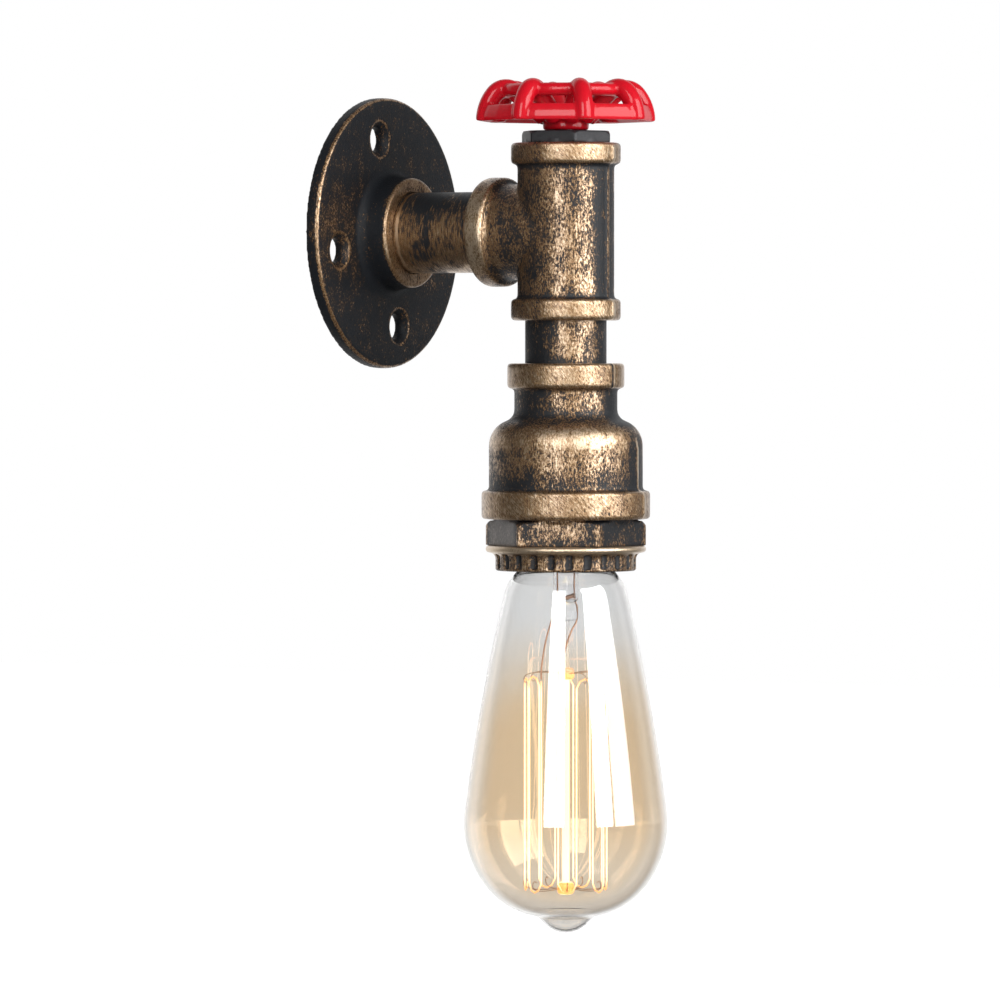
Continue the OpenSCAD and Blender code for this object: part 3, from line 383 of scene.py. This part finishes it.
class Socket:
    """An output of a node that can stand in plain arithmetic."""

    def __init__(self, graph, output):
        self.graph = graph
        self.output = output

    def maths(self, operation, first, second=0.0):
        return self.graph.node("ShaderNodeMath", {"operation": operation}, {0: first, 1: second})

    def __add__(self, other):
        return self.maths("ADD", self, other)

    def __radd__(self, other):
        return self.maths("ADD", other, self)

    def __sub__(self, other):
        return self.maths("SUBTRACT", self, other)

    def __rsub__(self, other):
        return self.maths("SUBTRACT", other, self)

    def __mul__(self, other):
        return self.maths("MULTIPLY", self, other)

    def __rmul__(self, other):
        return self.maths("MULTIPLY", other, self)

    def __truediv__(self, other):
        return self.maths("DIVIDE", self, other)

    def __pow__(self, other):
        return self.maths("POWER", self, other)

    def __abs__(self):
        return self.maths("ABSOLUTE", self)


class Graph:
    """The nodes of a material or of the world."""

    def __init__(self, owner):
        owner.use_nodes = True
        self.owner = owner
        self.tree = owner.node_tree
        self.tree.nodes.clear()

    def node(self, kind, settings=None, sockets=None, output=0):
        made = self.tree.nodes.new(kind)
        for key, value in (settings or {}).items():
            setattr(made, key, value)
        for key, value in (sockets or {}).items():
            if isinstance(value, Socket):
                self.tree.links.new(value.output, made.inputs[key])
            else:
                made.inputs[key].default_value = value
        return Socket(self, made.outputs[output])

    def ramp(self, value, stops):
        """Colours between stops of (place, colour)."""
        made = self.node("ShaderNodeValToRGB", None, {0: value})
        elements = made.output.node.color_ramp.elements
        while len(elements) < len(stops):
            elements.new(0.5)
        for element, (place, colour) in zip(elements, stops):
            element.position = place
            element.color = (*colour, 1)
        return made

    def place(self):
        """Object coordinates, whole and as x, y and z."""
        whole = self.node("ShaderNodeTexCoord", output="Object")
        parts = [self.node("ShaderNodeSeparateXYZ", None, {0: whole}, i) for i in range(3)]
        return whole, parts

    def stretched(self, whole, scale, seed=(0, 0, 0)):
        return self.node("ShaderNodeMapping", None, {"Vector": whole, "Scale": scale, "Location": seed})

    def noise(self, vector, scale, detail=3.0, rough=0.6):
        return self.node(
            "ShaderNodeTexNoise", None,
            {"Vector": vector, "Scale": scale, "Detail": detail, "Roughness": rough},
        )

    def step(self, value, low, high, bottom=0.0, top=1.0):
        """Smooth rise from bottom to top as value goes from low to high."""
        return self.node(
            "ShaderNodeMapRange", {"interpolation_type": "SMOOTHSTEP"},
            {"Value": value, "From Min": low, "From Max": high, "To Min": bottom, "To Max": top},
        )

    def blend(self, factor, first, second):
        return self.node("ShaderNodeMix", {"data_type": "RGBA"}, {0: factor, 6: first, 7: second}, 2)

    def bump(self, height, strength, distance):
        return self.node(
            "ShaderNodeBump", None, {"Strength": strength, "Distance": distance, "Height": height}
        )

    def slant(self):
        """How far the surface turns away from the line of sight, from 0 to 1."""
        return self.node("ShaderNodeLayerWeight", None, {"Blend": 0.5}, "Facing")

    def ray(self, kind):
        return self.node("ShaderNodeLightPath", None, None, f"Is {kind} Ray")

    def surface(self, **sockets):
        values = {key.replace("_", " "): value for key, value in sockets.items()}
        return self.shown(self.node("ShaderNodeBsdfPrincipled", None, values))

    def shown(self, shader, out="ShaderNodeOutputMaterial"):
        self.tree.links.new(shader.output, self.tree.nodes.new(out).inputs["Surface"])
        return self.owner


def new_finish(name):
    return Graph(bpy.data.materials.new(name))


BRONZE_STOPS = [
    (0.20, (0.0080, 0.0095, 0.0120)),
    (0.36, (0.0160, 0.0130, 0.0115)),
    (0.47, (0.100, 0.051, 0.020)),
    (0.62, (0.29, 0.166, 0.076)),
    (0.82, (0.50, 0.340, 0.198)),
    (1.00, (0.76, 0.59, 0.41)),
]
# Grey of a sheen painted over the black: a painted reflection.
PAINTED_SHEEN_GREY = (0.17, 0.155, 0.145, 1)
STROKE_SCALE, SPECK_SCALE, PATCH_SCALE = 1850.0, 3600.0, 260.0


def brushed_bronze(name, cover, stretch, seed=(0, 0, 0), painted_sheen=None, shine=0.42):
    """Black casting with bronze brushed over it: cover gives how much a place got, and how evenly, and for
    some pieces a painted highlight on the side toward the lights.
    The last argument gives where a grey sheen, a painted reflection, is laid over the black."""
    f = new_finish(name)
    whole, (x, y, z) = f.place()
    along = f.stretched(whole, stretch, seed)
    grain = f.noise(along, STROKE_SCALE, 4.0, 0.6)
    speck = f.noise(whole, SPECK_SCALE, 2.0, 0.6)
    patch = f.noise(f.stretched(whole, (1, 1, 0.6), seed), PATCH_SCALE, 3.0, 0.55)
    level, even = cover(f, x, y, z)
    uneven = (grain - 0.5) * 2.1 + (speck - 0.5) * 0.9 + (patch - 0.5) * 1.1
    amount = level + uneven * (1 - even)
    metal = f.step(amount, 0.40, 0.62)
    colour = f.ramp(amount, BRONZE_STOPS)
    # Painted reflection: a grainy grey sheen laid over the black where the mask gives.
    if painted_sheen:
        colour = f.blend(painted_sheen(f, x, y) * (0.3 + grain), colour, PAINTED_SHEEN_GREY)
    return f.surface(
        Base_Color=colour, Metallic=metal * 0.95,
        Roughness=0.48 - metal * 0.13 + (speck - 0.5) * 0.25, Specular_IOR_Level=shine,
        Coat_Weight=metal * 0.8, Coat_Roughness=0.3,
        Normal=f.bump(metal * 0.5 + grain * 0.9 + speck * 0.3, 0.45, 0.0004),
    )


def from_axis(x, y):
    """Distance from the lamp's axis."""
    return (x * x + (y - LAMP_Y) ** 2.0) ** 0.5


def facing(x, y, bearing):
    """How squarely a place round the lamp's axis faces a bearing: 1 in front, -1 behind."""
    a = math.radians(bearing)
    return (x * math.cos(a) + (y - LAMP_Y) * math.sin(a)) / from_axis(x, y)


def scratches(f, x, y, z, radius):
    """Slanting hairlines round the lamp's axis."""
    turn = f.node("ShaderNodeMath", {"operation": "ARCTAN2"}, {0: y - LAMP_Y, 1: x}) * radius
    slant = f.node("ShaderNodeCombineXYZ", None, {0: turn + z, 1: (turn - z) * 0.12})
    return f.noise(slant, 2100.0, 2.0, 0.6) - 0.5


def tee_cover_and_painted_light(f, x, y, z):
    high = abs(z)
    band = f.step(high, 20.9 * MM, 21.5 * MM)
    crease = f.step(high, 18.8 * MM, 20.7 * MM) * (1 - band)
    branch = f.step(y, LAMP_Y + 15.5 * MM, LAMP_Y + 18.0 * MM)
    dark_side = f.step(high, 8 * MM, 15 * MM) * branch
    front = f.step(y, LAMP_Y - 7 * MM, LAMP_Y - 11 * MM)
    parting = f.step(abs(x), 7.2 * MM, 4.2 * MM) * front * (1 - band)
    seam = f.step(abs(x), 0.8 * MM, 0.45 * MM) * front
    # lit and lit_band are painted highlight: more bronze, and evener, where the body and the top band face
    # the lights.
    lit = f.step(facing(x, y, -146), 0.74, 0.90)
    lit_band = f.step(facing(x, y, -125), 0.60, 0.76)
    collar = f.step(y, TEE_BRANCH - 6.9 * MM, TEE_BRANCH - 6.3 * MM)
    level = (
        0.385 + band * (0.20 + lit_band * 0.18) + branch * 0.20 - crease * 0.3 - dark_side * 0.3
        - parting * 0.3 + seam * 0.42 + collar * 0.30 + lit * (1 - branch) * (1 - band) * 0.16
        + scratches(f, x, y, z, 17.2 * MM) * band * 0.9
    )
    return level, band * (0.25 + lit_band * 0.3) + branch * 0.2 + collar * 0.1


def reducer_cover_and_painted_light(f, x, y, z):
    drop = REDUCER_TOP - z
    top = f.step(drop, 8.2 * MM, 7.6 * MM)
    neck = f.step(drop, 7.8 * MM, 8.9 * MM) * f.step(drop, 17.0 * MM, 14.0 * MM)
    hollow = f.step(drop, 13.0 * MM, 16.0 * MM) * f.step(drop, 21.0 * MM, 17.5 * MM)
    shoulder = f.step(drop, 18.5 * MM, 22.0 * MM) * f.step(drop, 28.5 * MM, 24.5 * MM)
    foot = f.step(drop, 32.5 * MM, 38.0 * MM) * f.step(drop, 40.3 * MM, 39.7 * MM)
    low = f.step(drop, 39.5 * MM, 40.2 * MM)
    band = top + low
    # lit is painted highlight: more bronze on the side toward the lights. Below, the neck is darker away
    # from that side, a painted shade.
    lit = f.step(facing(x, y, -130), 0.55, 0.97)
    seam_x, seam_y = around((0, 0), 1, 8)
    off_seam = abs(x * seam_x + (y - LAMP_Y) * seam_y)
    seam = f.step(off_seam, 0.8 * MM, 0.45 * MM) * f.step(drop, 22.5 * MM, 25.5 * MM)
    parting = f.step(off_seam, 7.0 * MM, 3.5 * MM) * (1 - band)
    # A thin painted highlight line beside a dark joint line, both on the top band.
    joint_painted_highlight = f.step(facing(x, y, -93.5), 0.9996, 0.9999)
    dark = f.step(facing(x, y, -96.5), 0.9994, 0.9998)
    right = f.step(facing(x, y, -65), 0.45, 0.85)
    level = (
        0.47 + band * 0.26 - (1 - top) * right * 0.08 - neck * 0.24 * (1 - lit) - neck * 0.06 - hollow * 0.3
        + shoulder * 0.2 - foot * 0.26 + lit * (1 - band) * 0.19 + seam * 0.8 + (joint_painted_highlight - dark) * top * 0.4
        - parting * 0.28 + scratches(f, x, y, z, 24 * MM) * band
    )
    return level, band * 0.5 + shoulder * 0.2


def drop_cover_and_painted_light(f, x, y, z):
    # The bronze on the side toward the lights is a painted highlight. The pipe is darker just above the
    # reducer.
    lit = f.step(facing(x, y, -133), 0.72, 0.96)
    level = 0.12 + lit * 0.50 - f.step(z, REDUCER_TOP + 3.5 * MM, REDUCER_TOP) * 0.2
    return level, 0.0


def arm_cover_and_painted_light(f, x, y, z):
    hub = f.step(y, HUB_END - 7 * MM, HUB_END)
    # A thin painted highlight line round the arm by the hub's end, with evener bronze there.
    collar = f.step(abs(y - HUB_END + 1.2 * MM), 0.7 * MM, 0.3 * MM)
    dark = f.step(abs(y + 24 * MM), 6 * MM, 1 * MM)
    under = f.step(z, -8 * MM, -12 * MM)
    upper = f.step(z, 2 * MM, 11 * MM)
    level = 0.52 + hub * 0.15 + collar * 0.4 + under * 0.2 - dark * 0.18 - upper * 0.36
    return level, 0.2 + collar * 0.5


def hexagon_cover(f, x, y, z):
    edge = f.step(from_axis(x, y), 24.3 * MM, 25.2 * MM)
    upper = f.step(z, RING_TOP + 1 * MM, RING_TOP + 4 * MM, 0.5, 1.1)
    brushed = f.step(facing(x, y, -155.5), 0.90, 0.95) * upper
    return 0.20 + edge * 0.42 + brushed * 0.33, 0.0


# A grey sheen painted over most of one face of the hexagon: a painted reflection.
def hexagon_painted_sheen(f, x, y):
    return f.step(facing(x, y, 144.5), 0.88, 0.94) * 0.9


def ring_cover(f, x, y, z):
    lip = f.step(z, RING_TOP - 3.1 * MM, RING_TOP - 2.4 * MM)
    land = f.step(from_axis(x, y), 21.5 * MM, 22.0 * MM)
    return 0.12 + lip * 0.47 + land * 0.46, lip * 0.6


HOLE_CIRCLE_R, COUNTERSINK_R = 30.25 * MM, 5.9 * MM
HOLE_TURN = 11  # degrees


def flange_cover(f, x, y, z):
    radius = (x * x + z * z) ** 0.5
    edge = f.step(radius, FLANGE_R - 1.1 * MM, FLANGE_R - 0.7 * MM) * f.step(y, -3.0 * MM, -3.5 * MM)
    hub_face = f.step(y, HUB_END + 1.3 * MM, HUB_END + 0.5 * MM)
    rim = hub_face * f.step(radius, 14.0 * MM, 16.8 * MM, 0.75, 1.0)
    hub = f.step(y, HUB_END + 1.0 * MM, HUB_END + 2.5 * MM) * f.step(radius, 22 * MM, 19 * MM)
    holes = 0.0
    for k in range(4):
        hole_x, hole_z = around((0, 0), HOLE_CIRCLE_R, HOLE_TURN + 90 * k)
        far = ((x - hole_x) ** 2.0 + (z - hole_z) ** 2.0) ** 0.5
        holes = holes + f.step(abs(far - COUNTERSINK_R), 0.6 * MM, 0.2 * MM)
    brown = f.step(x, 10 * MM, -30 * MM) * f.step(abs(z), 24 * MM, 6 * MM)
    side = f.step(radius, FLANGE_R - 0.5 * MM, FLANGE_R - 0.1 * MM)
    level = 0.18 - side * 0.12 - hub * 0.18 + edge * 0.4 + rim * 0.45 + holes * 0.27 + brown * 0.15
    return level, 0.33 + rim * 0.12


def red_gloss():
    """Red enamel, whose clear coat fades where it is seen edge on."""
    f = new_finish("red_gloss")
    whole, _ = f.place()
    shade = f.noise(whole, 90.0, 2.0, 0.5)
    dimple = f.noise(whole, 650.0, 2.0, 0.5)
    return f.surface(
        Base_Color=f.blend(shade, (0.42, 0.003, 0.009, 1), (0.53, 0.004, 0.014, 1)),
        Roughness=0.36 + (dimple - 0.5) * 0.1, Specular_IOR_Level=0.1,
        Coat_Weight=f.step(f.slant(), 0.6, 0.9, 0.55, 0.0), Coat_Roughness=0.04,
        Normal=f.bump(dimple, 0.1, 0.0003),
    )


def plug_grey():
    f = new_finish("plug_grey")
    whole, _ = f.place()
    grain = f.noise(whole, 1800.0, 3.0, 0.6)
    return f.surface(
        Base_Color=f.blend(grain, (0.020, 0.021, 0.024, 1), (0.045, 0.046, 0.050, 1)),
        Metallic=0.4, Roughness=0.36, Normal=f.bump(grain, 0.15, 0.0003),
    )


SMOKY, AMBER = (0.92, 0.925, 0.925, 1), (0.915, 0.785, 0.617, 1)
# A paler colour and a dark rim colour, painted where the glass turns edge-on: painted reflection and
# painted shade.
PAINTED_PALE, PAINTED_RIM_SHADE = (0.95, 0.94, 0.935, 1), (0.64, 0.60, 0.56, 1)
SMOKY_ABOVE, AMBER_BELOW = -118 * MM, -156 * MM


def coated_glass():
    """Smoky at the neck, amber below it, paler again at the base and the sealed tip."""
    f = new_finish("coated_glass")
    whole, (_, _, z) = f.place()
    cloud = f.noise(whole, 60.0, 2.0, 0.5)
    high = z + (cloud - 0.5) * 0.02
    base = f.step(z, TIP + 18 * MM, TIP + 42 * MM, 0.62, 1.0)
    sealed_tip = f.step(z, TIP + 3 * MM, TIP + 9 * MM, 0.2, 1.0)
    amber = f.step(high, SMOKY_ABOVE, AMBER_BELOW) * (base * sealed_tip)
    slant = f.slant()
    # Painted reflection: paler where the glass turns from view. Painted shade: dark grey at its outline.
    painted_pale_band = f.step(slant, 0.34, 0.54) * 0.65
    edge = slant ** 7.0
    tint = f.blend(painted_pale_band, f.blend(amber, SMOKY, AMBER), PAINTED_PALE)
    return f.surface(
        Base_Color=f.blend(edge, tint, PAINTED_RIM_SHADE), Roughness=0.0, IOR=1.45,
        Transmission_Weight=1.0, Coat_Weight=0.8, Coat_IOR=1.7, Coat_Roughness=0.0,
    )


def clear_glass():
    f = new_finish("stem_clear")
    whole, _ = f.place()
    ripple = f.noise(f.stretched(whole, (1, 1, 0.3)), 260.0, 2.0, 0.5)
    return f.surface(
        Base_Color=f.blend(ripple, (0.95, 0.95, 0.96, 1), (0.98, 0.98, 0.99, 1)), Roughness=0.0, IOR=1.3,
        Transmission_Weight=1.0, Normal=f.bump(ripple, 0.15, 0.0005),
    )


UNLIT = (0, 0, 0, 1)


def lit_rod():
    """Glass with a painted glow between its two beads, orange at the beads, and clear above them: glow and
    amber tint stand in for the filament's light in the rod.
    """
    f = new_finish("lit_rod")
    whole, (x, y, z) = f.place()
    lit = f.step(z, FILAMENT_TOP + 3 * MM, FILAMENT_TOP)
    bead = f.step(from_axis(x, y), 1.7 * MM, 2.4 * MM)
    streak = f.noise(f.stretched(whole, (1, 1, 0.2)), 900.0, 2.0, 0.5)
    glow = f.blend(bead, (1.0, 0.93, 0.58, 1), (0.52, 0.20, 0.06, 1))
    return f.surface(
        Base_Color=f.blend(lit, (0.95, 0.95, 0.95, 1), (0.95, 0.72, 0.36, 1)),
        Roughness=0.04 + streak * 0.1, IOR=1.5, Transmission_Weight=0.7,
        Emission_Color=f.blend(lit * (0.85 + streak * 0.25), UNLIT, glow), Emission_Strength=1.6,
    )


def glowing_filament():
    """White hot along the runs and orange at the bends, which the hooks cool."""
    f = new_finish("glowing_filament")
    whole, (_, _, z) = f.place()
    cooled = 5 * MM
    heat = f.step(z, FILAMENT_TOP, FILAMENT_TOP - cooled) * f.step(z, FILAMENT_LOW, FILAMENT_LOW + cooled)
    coil = f.noise(f.stretched(whole, (0.2, 0.2, 1)), 2500.0, 1.0, 0.5)
    return f.surface(
        Base_Color=f.blend(coil, (0.30, 0.25, 0.20, 1), (0.60, 0.50, 0.40, 1)), Roughness=0.5,
        Emission_Color=f.blend(heat * (0.75 + coil * 0.4), (0.75, 0.30, 0.08, 1), (1.0, 0.80, 0.54, 1)),
        Emission_Strength=2.6,
    )


def grained(name, dark, light, metallic, roughness, scale, stretch=(1, 1, 1), depth=0.0002):
    """A finish for the small pieces: two near shades in a fine grain, with a little relief."""
    f = new_finish(name)
    whole, _ = f.place()
    grain = f.noise(f.stretched(whole, stretch), scale, 3.0, 0.6)
    cloud = f.noise(whole, scale / 12, 2.0, 0.5)
    return f.surface(
        Base_Color=f.blend(grain * 0.6 + cloud * 0.4, (*dark, 1), (*light, 1)), Metallic=metallic,
        Roughness=roughness + (grain - 0.5) * 0.2, Normal=f.bump(grain, 0.25, depth),
    )


# Pieces

def dress(piece, material):
    piece.data.materials.clear()
    piece.data.materials.append(material)
    return piece


def stands_for(piece, node, body, material):
    dress(piece, material)
    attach(piece, body)
    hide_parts(node)


UPRIGHT = (1, 1, 0.5)
ROUND_ARM = (0.2, 1, 0.2)
SHORT = (1, 1, 0.6)
ALONG = (1, 1, 0.1)
AROUND = (0.15, 0.15, 1)

stands_for(
    casting("flange_casting", "wall_flange", 0.5 * MM, 5), "wall_flange", "wall_bracket",
    brushed_bronze("flange_bronze", flange_cover, SHORT, shine=0.2),
)
stands_for(
    casting("tee_casting", "tee", 0.5 * MM, 8), "tee", "lamp_body",
    brushed_bronze("tee_bronze", tee_cover_and_painted_light, UPRIGHT),
)
stands_for(
    casting("reducer_casting", "reducer", 0.5 * MM, 4), "reducer", "lamp_body",
    brushed_bronze("reducer_bronze", reducer_cover_and_painted_light, UPRIGHT, seed=(0.3, 0.1, 0.2)),
)
stands_for(
    casting("hexagon_casting", "hex_bushing", 0.4 * MM, 2), "hex_bushing", "lamp_body",
    brushed_bronze("hexagon_bronze", hexagon_cover, UPRIGHT, seed=(0.7, 0.2, 0.5), painted_sheen=hexagon_painted_sheen),
)
stands_for(
    casting("ring_casting", "shade_ring", 0.3 * MM, 1), "shade_ring", "lamp_body",
    brushed_bronze("ring_bronze", ring_cover, SHORT, seed=(0.5, 0.4, 0.1)),
)
stands_for(
    casting("plug_casting", "hex_plug", 0.3 * MM, 2), "hex_plug", "lamp_body", plug_grey(),
)
stands_for(wheel_casting(), "handwheel", "wheel", red_gloss())
stands_for(bulb_shell(), "bulb_glass", "bulb", coated_glass())
stands_for(stem_glass(), "bulb_stem", "bulb", clear_glass())
copper = grained("drawn_copper", (0.62, 0.29, 0.16), (0.84, 0.47, 0.29), 0.25, 0.35, 1500.0, ALONG)
hook_metal = grained("hook_metal", (0.46, 0.27, 0.15), (0.62, 0.40, 0.24), 0.25, 0.4, 2200.0)
stands_for(lead_pair(), "lead_wires", "bulb", copper)
stands_for(hook_wires(), "filament_hooks", "bulb", hook_metal)

dress(nodes["arm_nipple"], brushed_bronze("arm_bronze", arm_cover_and_painted_light, ROUND_ARM))
dress(nodes["drop_nipple"], brushed_bronze("drop_bronze", drop_cover_and_painted_light, UPRIGHT, seed=(0.1, 0.6, 0.4)))
dress(nodes["glass_rod"], lit_rod())
dress(nodes["filament"], glowing_filament())

steel = grained("turned_steel", (0.30, 0.30, 0.31), (0.52, 0.52, 0.53), 1.0, 0.34, 1600.0, AROUND)
brass = grained("pressed_brass", (0.50, 0.33, 0.11), (0.72, 0.53, 0.23), 1.0, 0.30, 1300.0, AROUND)
bright_cap = grained("plated_cap", (0.50, 0.48, 0.44), (0.70, 0.68, 0.63), 1.0, 0.28, 1400.0, AROUND)
moulding = grained("black_moulding", (0.012, 0.011, 0.010), (0.026, 0.023, 0.021), 0.0, 0.34, 2400.0)
porcelain = grained("glazed_porcelain", (0.72, 0.69, 0.62), (0.80, 0.78, 0.72), 0.0, 0.16, 500.0)
black_glass = grained("cap_glass", (0.010, 0.010, 0.014), (0.030, 0.030, 0.040), 0.0, 0.12, 700.0)
solder = grained("solder", (0.36, 0.36, 0.37), (0.58, 0.58, 0.59), 1.0, 0.42, 900.0)
for finish, pieces in (
    (steel, (
        "terminal_screws", "switch_nut", "switch_shaft", "switch_bush", "wheel_screw", "wheel_washer",
    )),
    (brass, (
        "screw_shell", "centre_contact", "terminal_posts", "switch_contacts", "contact_bridge", "earth_lug",
    )),
    (moulding, ("holder_skirt", "holder_cap", "switch_housing")),
    (porcelain, ("holder_core", "switch_rotor")),
    (bright_cap, ("bulb_cap",)),
    (black_glass, ("cap_insulator",)),
    (solder, ("bulb_contact",)),
):
    for piece in pieces:
        dress(nodes[piece], finish)

for wire, dark, light in (
    ("feed_wire", (0.085, 0.032, 0.012), (0.125, 0.050, 0.020)),
    ("switched_wire", (0.011, 0.011, 0.012), (0.022, 0.022, 0.023)),
    ("neutral_wire", (0.018, 0.085, 0.33), (0.030, 0.12, 0.43)),
    ("earth_wire", (0.055, 0.25, 0.035), (0.62, 0.52, 0.030)),
):
    dress(nodes[wire], grained(wire + "_sleeve", dark, light, 0.0, 0.42, 420.0, depth=0.0001))


# Stage

def level_way(bearing):
    """A level direction, one metre long, from its bearing in radians."""
    return Vector((math.cos(bearing), math.sin(bearing), 0))


AIM = Vector((-10.7, -51.8, -84.27)) * MM
EYE = Vector((-2066, -1291, -34)) * MM
FACING = math.atan2(EYE.y - AIM.y, EYE.x - AIM.x)
BACKDROP = level_way(FACING - math.radians(170))
FLOOR_Z = -0.5
BULB = Vector((0, LAMP_Y, -0.1))
WHITE = (1, 1, 1, 1)


def pale_floor(room):
    """A floor that goes white away from the lamp and keeps its shadow near it.
    Metal mirrors it as a dim room."""
    clear_selection()
    bpy.ops.mesh.primitive_plane_add(size=14, location=(0, 0, FLOOR_Z))
    floor = settle(named("floor"))
    f = new_finish("pale_floor")
    _, (x, y, _) = f.place()
    away = (x * x + (y - LAMP_Y) ** 2.0 + FLOOR_Z * FLOOR_Z) ** 0.5
    behind = f.step((x * BACKDROP.x + (y - LAMP_Y) * BACKDROP.y) / away, 0.45, 0.8)
    seen = f.step(f.ray("Camera") + f.ray("Transmission"), 0.0, 1.0)
    white = f.step(from_axis(x, y), 0.3, 1.2, 0.5, 1.0) * seen
    matt = f.node("ShaderNodeBsdfDiffuse", None, {"Color": (0.8, 0.8, 0.8, 1)})
    glow = f.node("ShaderNodeEmission", None, {"Color": f.blend(white, UNLIT, WHITE)})
    mirrored = f.blend(behind, (room, room, room, 1), WHITE)
    shader = f.node("ShaderNodeMixShader", None, {
        0: f.ray("Glossy"),
        1: f.node("ShaderNodeAddShader", None, {0: matt, 1: glow}),
        2: f.node("ShaderNodeEmission", None, {"Color": mirrored}),
    })
    dress(floor, f.shown(shader))


def studio(ambient, room, through):
    """White behind the lamp, a dim room before it."""
    world = bpy.data.worlds.new("studio")
    bpy.context.scene.world = world
    g = Graph(world)
    look = g.node("ShaderNodeTexCoord", output="Generated")
    behind = g.node("ShaderNodeVectorMath", {"operation": "DOT_PRODUCT"}, {0: look, 1: BACKDROP}, "Value")
    level = ambient + g.ray("Glossy") * (g.step(behind, 0.45, 0.8, room, 1.0) - ambient)
    level = level + g.ray("Transmission") * (g.step(behind, -0.1, 0.5, through, 1.0) - level)
    level = level + g.ray("Camera") * (1.0 - level)
    light = g.node("ShaderNodeBackground", None, {"Color": WHITE, "Strength": level})
    g.shown(light, "ShaderNodeOutputWorld")


def softbox(name, turn, rise, distance, width, height, power):
    """A soft light seen from the bulb: turn is degrees to the right of the camera, rise degrees upwards."""
    upwards = math.radians(rise)
    way = level_way(FACING + math.radians(turn)) * math.cos(upwards)
    way.z = math.sin(upwards)
    light = bpy.data.lights.new(name, "AREA")
    light.shape = "RECTANGLE"
    light.size = width
    light.size_y = height
    light.energy = power
    lamp = bpy.data.objects.new(name, light)
    lamp.location = BULB + way * distance
    lamp.rotation_euler = (-way).to_track_quat("-Z", "Y").to_euler()
    bpy.context.scene.collection.objects.link(lamp)


def camera():
    view = bpy.data.cameras.new("camera")
    view.lens = 275
    view.sensor_width = 36
    view.clip_end = 50
    eye = bpy.data.objects.new("camera", view)
    eye.location = EYE
    eye.rotation_euler = (AIM - EYE).to_track_quat("-Z", "Y").to_euler()
    bpy.context.scene.collection.objects.link(eye)
    bpy.context.scene.camera = eye


pale_floor(room=0.1)
studio(ambient=0.28, room=0.1, through=0.75)
softbox("front_box", turn=-14, rise=17, distance=3.0, width=1.27, height=2.2, power=50)
softbox("right_box", turn=44.5, rise=18, distance=1.8, width=0.67, height=1.45, power=21)
softbox("side_box", turn=70.5, rise=18, distance=1.8, width=0.88, height=1.45, power=20)
camera()
bpy.context.scene.view_settings.view_transform = "Standard"
